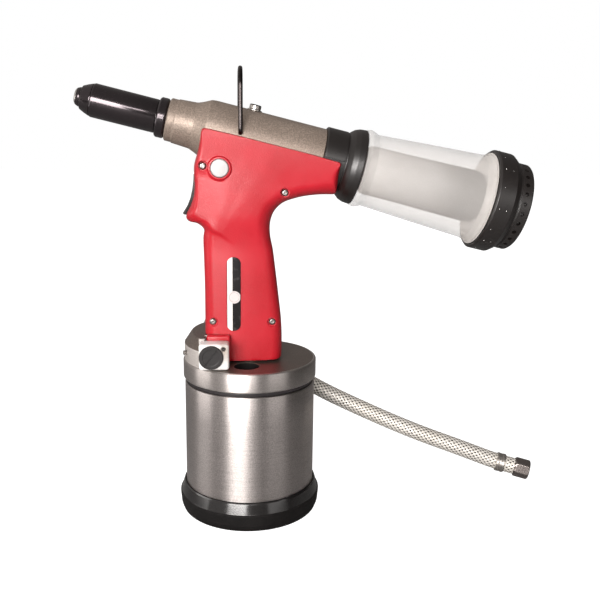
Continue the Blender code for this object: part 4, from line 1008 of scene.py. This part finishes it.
def make_nose():
    tip = [
        (1.7, -127.0), (4.0, -127.0, 0.6), (5.3, -126.1, 0.8), (6.1, -124.4, 0.5), (6.25, -123.5, 0.1),
        (7.6, -122.8, 0.4), (9.2, -119.5, 3.0), (10.3, -116.7, 0.5), (10.3, -116.3, 0.1), (8.9, -116.3), (8.9, -112.0),
        (6.4, -112.0), (3.4, -110.5), (1.7, -110.5),
    ]
    mesh = turned("nose_tip", tip, 128, 0.25)
    piece("nose_tip", mesh, ("tip", "oxide"), "tool", ["nosepiece"], BARREL)
    for face in mesh.polygons:
        face.material_index = 1 if face.center.z / MM > -125.6 else 0
    sleeve = [
        (9.2, -116.0), (10.45, -116.0, 0.1), (10.8, -115.5, 0.3), (10.8, -100.0, 0.0), (10.8, -75.1, 0.0),
        (10.5, -74.3, 0.3), (9.2, -74.3),
    ]
    piece("nose_barrel", turned("nose_barrel", sleeve, 160, 0.3), "oxide", "tool", ["nose_sleeve"], BARREL)
    ring = [
        (9.5, -74.0), (11.9, -74.0), (12.9, -73.0, 0.7), (12.9, -68.8, 0.7), (11.9, -67.7), (9.5, -67.7),
    ]
    piece("lock_ring", turned("lock_ring", ring, 128, 0.4), "oxide", "tool", ["sleeve_lock_ring"], BARREL)


def make_collar():
    rows = [
        (17.9, 35.3), (20.4, 35.3), (21.0, 36.0, 0.5), (21.0, 49.4, 1.2), (20.5, 50.5, 0.7), (21.5, 51.3, 1.4),
        (23.4, 53.6, 3.0), (24.6, 56.8, 4.0), (25.0, 60.9, 2.0), (24.8, 61.6, 0.3), (17.9, 61.6),
    ]
    collar = turned("adaptor", rows, 128, 0.3)
    bm = bmesh.new()
    band = [(19.2, 30.0, 0.0), (32.0, 30.0, 0.0), (32.0, 50.4, 0.0), (19.2, 50.4, 0.0)]
    turned("band", band, 96, 0.0, True, 0.02, bm)
    band = finish_mesh(bm, "band")
    upper = rounded_box("upper", (-60, -60, 0), (-1.5, 60, 90), 0.0)
    band = shaped(band, [upper])
    collar = shaped(collar, [band])
    piece("adaptor_collar", collar, "collar", "tool", ["rear_collar"], BARREL)


def make_collector():
    bottle = [
        (22.4, 62.0), (25.7, 62.0, 0.6), (26.0, 64.5, 1.5), (25.2, 67.0, 2.0), (24.15, 69.2, 3.0), (24.3, 73.0, 3.0),
        (26.6, 106.0, 0.0), (28.9, 142.4, 3.0), (29.9, 145.4, 2.0), (31.5, 147.4, 0.8), (31.7, 148.6, 0.4),
        (12.0, 148.6), (12.0, 147.9), (30.2, 147.9, 0.3), (28.2, 141.0, 3.0), (23.2, 72.0, 2.0),
    ]
    wall = turned("bottle_wall", bottle, 160, 0.5)
    piece("bottle_wall", wall, ("bottle", "bottle_inside", "bottle_end"), "bottle", ["collector_bottle"], BARREL)
    for face in wall.polygons:
        c = face.center / MM
        if c.z > 147.5 and abs(face.normal.z) > 0.8:
            face.material_index = 2
        elif c.x * face.normal.x + c.y * face.normal.y < 0 or hypot(c.x, c.y) < 24.0 and c.z < 63.0:
            face.material_index = 1
    liner = [
        (10.0, 64.6), (13.0, 64.6, 1.0), (15.8, 66.4, 2.4), (16.3, 70.0, 2.0), (16.5, 90.0, 0.0), (17.8, 140.6, 3.0),
        (17.2, 145.2, 2.5), (13.6, 147.4, 2.0), (11.0, 147.0), (15.6, 138.0, 1.0), (14.8, 72.0, 1.0),
    ]
    piece("inner_sleeve", turned("inner_sleeve", liner, 96, 0.4), "liner", "bottle", ["collector_liner"], BARREL)
    cap = [
        (0.0, 160.0), (27.6, 160.0), (29.0, 158.6), (29.0, 149.6), (30.2, 148.9, 0.3), (33.0, 148.9), (34.0, 150.0, 0.7),
        (34.0, 160.9, 1.2), (32.9, 162.5, 0.8), (31.6, 164.3, 0.6), (29.9, 165.1, 0.5), (29.2, 165.7, 0.3),
        (29.2, 166.5, 0.3), (29.7, 167.0, 0.3), (29.7, 173.8, 0.8), (28.9, 174.7), (26.4, 174.7), (25.6, 173.6),
        (25.6, 165.0), (0.0, 165.0),
    ]
    mesh = turned("cap", cap, 168, 0.35)
    holes = []
    for k in range(28):
        angle = 2 * pi * (k + 0.5) / 28
        way = Vector((cos(angle), sin(angle), 0.0))
        lift = Vector((0, 0, 169.9))
        holes.append(rod(way * 26.4 + lift, way * 32.0 + lift, 1.4, 20))
    mesh = shaped(mesh, [joined(holes)])
    piece("vented_cap", mesh, "collar", "bottle_cap", ["collector_cap"], BARREL)
    # moulded pips round the cap's wide band, coloured bright zinc as painted glints
    rng = random.Random(7)
    bm = bmesh.new()
    for k in range(16):
        angle = 2 * pi * (k + 0.3) / 16 + rng.uniform(-0.05, 0.05)
        for s in (152.6, 157.4):
            if s > 155 and k % 2:
                continue
            made = bmesh.ops.create_uvsphere(bm, u_segments=12, v_segments=8, radius=0.34 * MM)
            centre = Vector((33.95 * cos(angle), 33.95 * sin(angle), s)) * MM
            bmesh.ops.translate(bm, verts=made["verts"], vec=centre)
    piece("cap_pips_painted_glints", finish_mesh(bm, "cap_pips_painted_glints"), "zinc", "bottle_cap", (), BARREL)


def make_oil_screw():
    place = Matrix.Translation(barrel_point(-14.0, BARREL_R - 0.3) * MM) @ Matrix.Rotation(TILT, 4, "Y")
    washer = [(2.75, 0.0), (4.9, 0.0), (4.9, 0.8, 0.25), (2.75, 0.8)]
    piece("fill_washer", turned("fill_washer", washer, 64, 0.2), "crimp", "tool", ["oil_screw_washer"], place)
    head = [
        (0.0, -5.0), (2.4, -5.0), (2.4, 1.0), (3.85, 1.0), (3.85, 3.5, 0.3), (3.45, 4.0, 0.3), (0.0, 4.0),
    ]
    mesh = turned("fill_screw", head, 64, 0.2)
    hexagon = [(2.0 * cos(pi * k / 3), 2.0 * sin(pi * k / 3)) for k in range(6)]
    mesh = shaped(mesh, [prism("hex", hexagon, 1.8, 6.0, "Z", 0.0)])
    piece("fill_screw", mesh, ("nickel", "wire"), "tool", ["oil_screw"], place)
    for face in mesh.polygons:
        if face.center.z > 3.3 * MM:
            face.material_index = 1


make_casting()
make_nose()
make_collar()
make_collector()
make_oil_screw()


# ------------------------------------------------------------------ grip

RIM = (
    (-31.6, 264.6), (-33.6, 250.0), (-36.4, 239.5), (-36.4, 233.0), (-36.2, 227.0), (-36.7, 221.0),
    (-38.6, 214.8), (-41.9, 205.7), (-41.0, 203.6), (-34.4, 202.1), (-30.6, 198.5), (-31.0, 193.6),
    (-30.8, 180.4), (-30.4, 160.0), (-30.4, 140.7), (-30.3, 110.6), (-12.0, 110.4), (6.0, 110.4),
    (21.2, 110.6), (21.5, 124.0), (21.0, 136.2), (19.1, 153.3), (16.7, 172.5), (15.0, 185.2),
    (13.0, 196.0), (13.2, 204.0), (15.6, 210.6), (20.4, 215.6), (30.0, 219.4), (43.3, 221.6),
    (56.2, 221.9), (58.2, 236.0), (59.2, 242.9), (36.0, 248.9), (14.5, 254.0), (-7.0, 259.1),
)
CROWN = (
    (-27.2, 259.6), (-28.2, 249.0), (-29.6, 239.5), (-29.8, 233.0), (-29.8, 227.0), (-30.2, 221.0),
    (-31.0, 214.3), (-31.4, 208.6), (-30.0, 206.4), (-27.2, 204.4), (-24.4, 200.0), (-23.8, 193.0),
    (-23.3, 180.4), (-22.9, 160.0), (-22.7, 140.7), (-23.0, 111.5), (-12.0, 111.2), (4.0, 111.3),
    (13.0, 111.6), (13.3, 124.0), (12.6, 136.2), (10.6, 153.3), (8.2, 172.5), (6.4, 185.2),
    (4.4, 196.0), (4.8, 206.6), (8.8, 215.6), (15.8, 222.0), (27.0, 226.8), (41.3, 229.4),
    (52.6, 230.6), (53.6, 235.6), (54.4, 241.6), (34.6, 246.8), (13.6, 251.6), (-7.4, 256.4),
)
# how much of the CAD's edge round-over each outline point keeps
EASE = {32: 0.35, 33: 0.3, 34: 0.3, 35: 0.3, 0: 0.3, 1: 0.45, 2: 0.5, 3: 0.5, 4: 0.5, 5: 0.55, 6: 0.7, 7: 0.85}
CORNERS = {0: 2.4, 8: 1.3, 15: 1.6, 18: 1.6, 30: 1.2, 32: 1.2}
SCREWS = ((-30.5, 239.8), (22.0, 223.3), (-25.0, 137.8), (14.4, 137.5))
CREASE = ((-42.0, 205.0), (-34.0, 202.0), (-27.0, 199.2), (-20.5, 196.2), (-14.5, 192.2), (-8.0, 187.0))


def half_width(z):
    return 19.0 + 2.6 * eased((z - 195.0) / 45.0)


def crease_side(x, z):
    """Signed distance above the crease line and how far along it the nearest point is."""
    best = None
    total = len(CREASE) - 1
    for i, (a, b) in enumerate(zip(CREASE, CREASE[1:])):
        dx, dz = b[0] - a[0], b[1] - a[1]
        t = ((x - a[0]) * dx + (z - a[1]) * dz) / (dx * dx + dz * dz)
        t = min(max(t, 0.0), 1.0)
        away = hypot(x - a[0] - t * dx, z - a[1] - t * dz)
        if best is None or away < abs(best[0]):
            side = dx * (z - a[1]) - dz * (x - a[0])
            best = (away if side > 0 else -away, (i + t) / total)
    return best


def relief(x, z):
    """Height that the skin stands above or below its plain crown."""
    h = (z - BARREL_Z) * cos(TILT) + (x - BARREL_X) * sin(TILT)
    saddle = 1.5 * eased((h + 24.0) / 26.0)
    away, run = crease_side(x, z)
    fade = 1.0 - eased((run - 0.35) / 0.65)
    step = 1.8 * fade * eased((away + 0.7) / 1.6) * exp(-max(away, 0.0) / 22.0)
    rear = 21.0 - 8.0 * eased((z - 124.0) / 72.0)
    middle, half = (rear - 30.5) / 2, (rear + 30.5) / 2
    crown = -2.0 * min(abs(x - middle) / half, 1.0) ** 2 * (1.0 - eased((z - 185.0) / 25.0))
    swell = 2.4 * eased((z - 180.5) / 30.0) * exp(-((x + 3.0) / 21.0) ** 2 - ((z - 205.0) / 24.0) ** 2)
    front = -2.2 * eased((-14.0 - x) / 26.0) * eased((z - 196.0) / 12.0) * (1.0 - eased((h + 30.0) / 10.0))
    return saddle + step + crown + swell + front


def skin_height(x, z):
    return half_width(z) + relief(x, z)


def outline_samples(step=1.15):
    """The matched rim and crown outlines, sampled finely, with rounded corners."""
    knots = []
    for i, (rim, crown) in enumerate(zip(RIM, CROWN)):
        keep = EASE.get(i, 1.0)
        knots.append((
            rim[0], rim[1], rim[0] + (crown[0] - rim[0]) * keep, rim[1] + (crown[1] - rim[1]) * keep
        ))
    count = len(knots)

    def gap(a, b):
        return max(hypot(a[0] - b[0], a[1] - b[1]), 1e-6)

    corner_list = sorted(CORNERS)
    runs = []
    for start, end in zip(corner_list, corner_list[1:] + [corner_list[0] + count]):
        chain = [knots[i % count] for i in range(start, end + 1)]
        lengths = [gap(a, b) for a, b in zip(chain, chain[1:])]
        slopes = [[(b[c] - a[c]) / d for c in range(4)] for a, b, d in zip(chain, chain[1:], lengths)]
        tangents = [slopes[0]]
        for i in range(1, len(chain) - 1):
            before, after = lengths[i - 1], lengths[i]
            tangents.append([
                (slopes[i - 1][c] * after + slopes[i][c] * before) / (before + after) for c in range(4)
            ])
        tangents.append(slopes[-1])
        samples = []
        for i, length in enumerate(lengths):
            parts = max(1, ceil(length / step))
            for k in range(parts):
                t = k / parts
                h00, h10 = 2 * t ** 3 - 3 * t ** 2 + 1, t ** 3 - 2 * t ** 2 + t
                h01, h11 = -2 * t ** 3 + 3 * t ** 2, t ** 3 - t ** 2
                samples.append([
                    h00 * chain[i][c] + h10 * length * tangents[i][c]
                    + h01 * chain[i + 1][c] + h11 * length * tangents[i + 1][c]
                    for c in range(4)
                ])
        samples.append(list(chain[-1]))
        runs.append(samples)
    result = []
    for index, samples in enumerate(runs):
        start_reach = CORNERS[corner_list[index]]
        end_index = corner_list[(index + 1) % len(corner_list)]
        end_reach = CORNERS[end_index]
        first, last = samples[0], samples[-1]
        kept = [s for s in samples if gap(s, first) > start_reach and gap(s, last) > end_reach]
        runs[index] = (kept, last, end_reach)
    for index, (kept, corner, reach) in enumerate(runs):
        result += kept
        nxt = runs[(index + 1) % len(runs)][0][0]
        for k in range(1, 6):
            t = k / 6
            result.append([
                kept[-1][c] * (1 - t) ** 2 + corner[c] * 2 * t * (1 - t) + nxt[c] * t * t for c in range(4)
            ])
    return result


def shell_skin(side):
    """One half's closed outer form: split face, rounded edge and crowned side."""
    samples = outline_samples()
    bm = bmesh.new()
    rings = []
    levels = [(0.0, 0.0), (0.0, 0.14), (0.0, 0.28), (0.0, 0.42)]
    for k in range(1, 13):
        theta = pi / 2 * k / 12
        levels.append((1 - cos(theta), 0.42 + 0.58 * sin(theta)))
    split = 0.15
    for inset, rise in levels:
        ring = []
        for xr, zr, xc, zc in samples:
            x = xr + (xc - xr) * inset
            z = zr + (zc - zr) * inset
            y = split + (half_width(z) - split) * rise + relief(x, z) * inset
            ring.append(bm.verts.new((x * MM, side * y * MM, z * MM)))
        rings.append(ring)
    count = len(samples)
    for low, high in zip(rings, rings[1:]):
        for k in range(count):
            n = (k + 1) % count
            bm.faces.new((low[k], low[n], high[n], high[k]))
    bm.faces.new(rings[0])
    crown = [(s[2], s[3]) for s in samples]
    points = [Vector(p) for p in crown]
    edges = [(k, (k + 1) % count) for k in range(count)]
    spacing = 1.2
    low_x, high_x = min(p.x for p in points), max(p.x for p in points)
    low_z, high_z = min(p.y for p in points), max(p.y for p in points)
    border = list(zip(crown, crown[1:] + crown[:1]))
    inside = []
    row = 0
    z = low_z + spacing * 0.5
    while z < high_z:
        cuts = []
        for (x0, z0), (x1, z1) in border:
            if (z0 > z) != (z1 > z):
                cuts.append(x0 + (z - z0) / (z1 - z0) * (x1 - x0))
        cuts.sort()
        x = low_x + (0.5 * spacing if row % 2 else 0.0)
        while x < high_x:
            inner = any(a + 0.55 < x < b - 0.55 for a, b in zip(cuts[::2], cuts[1::2]))
            if inner and all(
                abs(x0 - x) > 0.8 or abs(z0 - z) > 0.8 for (x0, z0), _ in border
                if abs(x0 - x) < 1.5 and abs(z0 - z) < 1.5
            ):
                inside.append(Vector((x, z)))
            x += spacing
        z += spacing * 0.87
        row += 1
    points += inside
    made = delaunay_2d_cdt(points, edges, [list(range(count))], 1, 1e-6)
    verts = []
    for p, origin in zip(made[0], made[3]):
        source = [o for o in origin if o < count]
        if source:
            verts.append(rings[-1][source[0]])
        else:
            verts.append(bm.verts.new((p.x * MM, side * skin_height(p.x, p.y) * MM, p.y * MM)))
    for face in made[2]:
        corners = [verts[i] for i in face]
        if len(set(corners)) == len(corners):
            bm.faces.new(corners)
    loose = [v for v in bm.verts if not v.link_faces]
    bmesh.ops.delete(bm, geom=loose, context="VERTS")
    return finish_mesh(bm, "skin", 40)


CAVITY = (
    (-27.4, 100.0), (18.2, 100.0), (18.4, 124.0), (15.6, 153.0), (10.4, 185.0), (8.2, 197.0), (8.4, 206.0),
    (11.4, 214.0), (18.8, 221.0), (31.0, 224.6), (53.0, 227.6), (53.4, 236.0), (30.0, 242.0), (-27.0, 250.0),
    (-32.4, 240.0), (-33.2, 222.0), (-33.8, 209.0), (-27.9, 202.2),
)


def make_shell(name, node, side):
    skin = shell_skin(side)
    if side < 0:
        panel = rounded_box("panel", (-29.2, -24.0, 110.6), (-13.8, -16.0, 129.8), 1.5, 4)
        centre = (-19.9, -19.0, 238.6)
        face = half_width(238.6) + relief(-19.9, 238.6)
        ring_rows = (
            (0.0, 0.0), (8.6, 0.0), (8.6, face - 19.0 - 0.1), (8.1, face - 18.95), (7.75, face - 18.7),
            (7.6, face - 18.2), (7.5, 3.7), (7.25, 4.15), (6.9, 4.35), (6.5, 4.4), (0.0, 4.4),
        )
        ring = rod(centre, (-19.9, -30.0, 238.6), 8.6, 64, rows=ring_rows)
        skin = shaped(skin, [panel, ring], "UNION")
    half = 14.6
    cavity = prism("cavity", CAVITY, -half, half, "Y", 1.2, 2)
    cuts = [cavity, rod((0, 0, 100.0), (0, 0, 232.0), 10.3, 64), rod(barrel_point(-60.0), barrel_point(80.0), BARREL_R + GAP, 128)]
    cuts.append(rounded_box("bay", (-40.0, -15.5, 100.0), (-24.0, 15.5, 128.3), 0.0))
    cuts.append(rounded_box("slot", (-60.0, -7.2, 206.4), (-25.0, 7.2, 236.6), 0.0))
    cuts.append(rod((-32.6, 0.0, 231.6), (-32.6, side * 14.4, 231.6), 1.8, 24))
    cuts.append(rod((VALVE_X, 0.0, VALVE_Z), (VALVE_X, side * 40.0, VALVE_Z), 5.9, 32))
    if side < 0:
        cuts.append(rod((-19.9, -10.0, 238.6), (-19.9, -30.0, 238.6), 6.05, 64))
        wells = []
        for x, z in SCREWS:
            face = skin_height(x, z)
            bed = half_width(z) - 2.4
            depth = face - bed
            rows = (
                (0.0, -4.0), (1.6, -4.0), (1.6, 0.0), (3.0, 0.0), (3.0, depth - 0.3), (3.15, depth - 0.05),
                (3.5, depth + 0.25), (3.5, depth + 4.0), (0.0, depth + 4.0),
            )
            wells.append(rod((x, -bed, z), (x, -bed - 10.0, z), 3.0, 40, rows=rows))
        cuts.append(joined(wells))
    skin = shaped(skin, cuts)
    return piece(name, skin, "red", "tool", [node])


def make_grip_fittings():
    for index, (x, z) in enumerate(SCREWS):
        bed = half_width(z) - 2.4 - GAP
        mesh = screw_mesh("grip_screw_" + str(index + 1), 2.3, 1.6, 1.25, 5.0)
        piece(
            "grip_screw_" + str(index + 1), mesh, "screw", "tool", ["shell_screw_" + str(index + 1)],
            along_axis((x, -bed, z), (0, -1, 0)),
        )
    cx, r, low, high = -11.2, 4.55, 131.9, 181.4
    bm = bmesh.new()
    rings = []
    for grow, lift in ((0.0, 0.05), (0.0, 0.42), (-0.12, 0.56), (-0.35, 0.6)):
        ring = []
        for k in range(64):
            angle = 2 * pi * k / 64
            edge = r + grow
            z = (high - r if angle < pi else low + r) + edge * sin(angle)
            x = cx + edge * cos(angle)
            ring.append(bm.verts.new((x * MM, -(19.0 + lift) * MM, z * MM)))
        rings.append(ring)
    for lower, upper in zip(rings, rings[1:]):
        for k in range(64):
            n = (k + 1) % 64
            bm.faces.new((lower[k], lower[n], upper[n], upper[k]))
    bm.faces.new(rings[0])
    bm.faces.new(list(reversed(rings[-1])))
    piece("label_badge", finish_mesh(bm, "label_badge"), "label", "tool", ["label_plate"])
    button = [
        (0.0, -8.0), (2.2, -8.0), (2.2, 0.0), (5.75, 0.0), (5.75, 5.2, 0.5), (5.2, 5.95, 0.7), (3.6, 6.15, 2.0),
        (0.0, 6.2),
    ]
    place = Matrix.Translation(Vector((-19.9, -17.4, 238.6)) * MM) @ Matrix.Rotation(pi / 2, 4, "X")
    piece(
        "white_button", turned("white_button", button, 80, 0.3), "white", "suction_valve", ["suction_button"], place
    )


def make_trigger():
    side = [
        (-37.0, 234.4), (-37.2, 230.0), (-37.9, 224.6), (-39.2, 218.8), (-41.2, 213.8), (-44.2, 209.0),
        (-44.0, 207.9), (-41.7, 207.6), (-39.2, 211.8), (-37.1, 217.0), (-35.9, 221.2), (-34.0, 224.6),
        (-31.0, 228.4), (-29.8, 231.6), (-30.8, 234.2), (-33.0, 235.2),
    ]
    outline = [(p[0], p[1]) for p in rounded(side, 0.7, True, 3)]
    mesh = prism("lever", outline, -6.6, 6.6, "Y", 0.22, 2)
    mesh = shaped(mesh, [rod((-32.6, -20, 231.6), (-32.6, 20, 231.6), 1.55, 24)])
    piece("trigger_lever", mesh, "trigger", "trigger", ["trigger"])


def make_hook():
    w, big = 21.2, 12.0
    corners = [(-16.2, 0.0), (-17.6, 0.0), (-18.8, 0.0)]
    for k in range(1, 9):
        angle = pi / 2 * k / 8
        corners.append((-w + 2.4 - 2.4 * sin(angle), 2.4 - 2.4 * cos(angle)))
    top = 301.0 - HOOK_Z
    corners += [(-w, 4.0), (-w, 10.0), (-w, 18.0), (-w, 24.0)]
    for k in range(17):
        angle = pi / 2 * k / 16
        corners.append((-w + big - big * cos(angle), top - big + big * sin(angle)))
    path = corners + [(-y, z) for y, z in reversed(corners)]
    points = [Vector((HOOK_X, y, HOOK_Z + z)) * MM for y, z in path]
    piece("hook_wire", tube("hook_wire", points, 1.45 * MM, 28), "wire", "hook", ["suspension_hook"])


make_shell("grip_near", "near_shell", -1.0)
make_shell("grip_far", "far_shell", 1.0)
make_grip_fittings()
make_trigger()
make_hook()


# ------------------------------------------------------------------ inside parts

NODE_LOOKS = {
    # the exhaust silencer takes the near-black painted-shade look
    "base_plate": "can", "cap_side_screw": "zinc", "exhaust_silencer": "silencer_shade", "valve_block_screw": "dark",
    "valve_spool": "brass", "plunger_gland": "brass", "rear_gland": "brass", "draw_piston": "steel",
    "draw_piston_seal": "gasket", "jaw_case": "dark", "jaw_pusher": "steel", "pusher_spring": "steel",
    "return_spring": "steel", "jaw_1": "dark", "jaw_2": "dark", "jaw_3": "dark", "air_piston": "can",
    "air_piston_seal": "gasket", "plunger": "steel", "air_diffuser": "diffuser", "trigger_pin": "zinc",
    "pilot_stem": "zinc", "hose_elbow": "nickel",
}


def finish_nodes():
    for name, look in NODE_LOOKS.items():
        obj = bpy.data.objects.get(name)
        if obj is None:
            continue
        if not obj.material_slots:
            obj.data.materials.append(LOOKS[look])
        for slot in obj.material_slots:
            slot.material = LOOKS[look]


finish_nodes()


# ------------------------------------------------------------------ studio

def area(name, place, target, width, height, power, colour=(1.0, 1.0, 1.0)):
    data = bpy.data.lights.new(name, "AREA")
    data.shape = "RECTANGLE"
    data.size = width
    data.size_y = height
    data.energy = power
    data.color = colour
    lamp = bpy.data.objects.new(name, data)
    lamp.location = place
    lamp.rotation_mode = "QUATERNION"
    lamp.rotation_quaternion = (Vector(target) - Vector(place)).to_track_quat("-Z", "Y")
    bpy.context.scene.collection.objects.link(lamp)
    return lamp


def make_studio():
    bm = bmesh.new()
    bmesh.ops.create_grid(bm, x_segments=8, y_segments=8, size=6.0)
    mesh = bpy.data.meshes.new("studio_floor")
    bm.to_mesh(mesh)
    bm.free()
    floor_obj = bpy.data.objects.new("studio_floor", mesh)
    bpy.context.scene.collection.objects.link(floor_obj)
    look = Look("studio_floor", roughness=0.9, specular_ior_level=0.1)
    look.colour(look.ramp(look.noise(3.0), (0.3, 0.27), (0.7, 0.29)))
    look.put(look.shader, "Emission Color", (1.0, 1.0, 1.0))
    seen = look.add("LightPath").outputs["Is Camera Ray"]
    look.put(look.shader, "Emission Strength", look.math("MULTIPLY", seen, 1.1))
    mesh.materials.append(look.mat)
    floor_obj.location.z = -0.05 * MM

    world = bpy.data.worlds.new("studio")
    bpy.context.scene.world = world
    world.use_nodes = True
    tree = world.node_tree
    tree.nodes.clear()
    out = tree.nodes.new("ShaderNodeOutputWorld")
    mix = tree.nodes.new("ShaderNodeMixShader")
    path = tree.nodes.new("ShaderNodeLightPath")
    clear = tree.nodes.new("ShaderNodeMath")
    clear.operation = "MAXIMUM"
    way = tree.nodes.new("ShaderNodeTexCoord")
    split = tree.nodes.new("ShaderNodeSeparateXYZ")
    sweep_light = tree.nodes.new("ShaderNodeMath")
    sweep_light.operation = "MULTIPLY_ADD"
    sweep_light.inputs[1].default_value = -0.26
    sweep_light.inputs[2].default_value = 0.28
    dim = tree.nodes.new("ShaderNodeBackground")
    plain = tree.nodes.new("ShaderNodeBackground")
    dim.inputs["Color"].default_value = (1.0, 0.945, 0.91, 1.0)
    tree.links.new(way.outputs["Generated"], split.inputs[0])
    tree.links.new(split.outputs["X"], sweep_light.inputs[0])
    tree.links.new(sweep_light.outputs[0], dim.inputs["Strength"])
    plain.inputs["Color"].default_value = (1.0, 1.0, 1.0, 1.0)
    plain.inputs["Strength"].default_value = 1.0
    tree.links.new(path.outputs["Is Camera Ray"], clear.inputs[0])
    tree.links.new(path.outputs["Is Transmission Ray"], clear.inputs[1])
    tree.links.new(clear.outputs[0], mix.inputs["Fac"])
    tree.links.new(dim.outputs[0], mix.inputs[1])
    tree.links.new(plain.outputs[0], mix.inputs[2])
    tree.links.new(mix.outputs[0], out.inputs["Surface"])

    middle = (0.0, 0.0, 0.15)
    warm = (1.0, 0.965, 0.945)
    area("key", (-0.47, -1.19, 0.42), middle, 0.68, 0.56, 20.5, warm)
    area("strip", (-0.06, -1.27, 0.53), (-0.08, 0.0, 0.26), 0.50, 0.10, 2.6, warm)
    area("left", (-1.30, -0.10, 0.30), middle, 0.7, 0.6, 3.0, warm)
    area("second", (0.92, -0.95, 0.38), middle, 0.8, 0.60, 2.0, warm)
    area("top", (0.0, 0.3, 1.35), middle, 1.0, 0.9, 3.2).visible_glossy = False
    area("back", (-0.3, 1.1, 0.9), middle, 1.2, 0.8, 2.0).visible_glossy = False

    scene = bpy.context.scene
    scene.view_settings.view_transform = "Standard"
    scene.view_settings.look = "None"
    scene.view_settings.exposure = 0.0


make_studio()
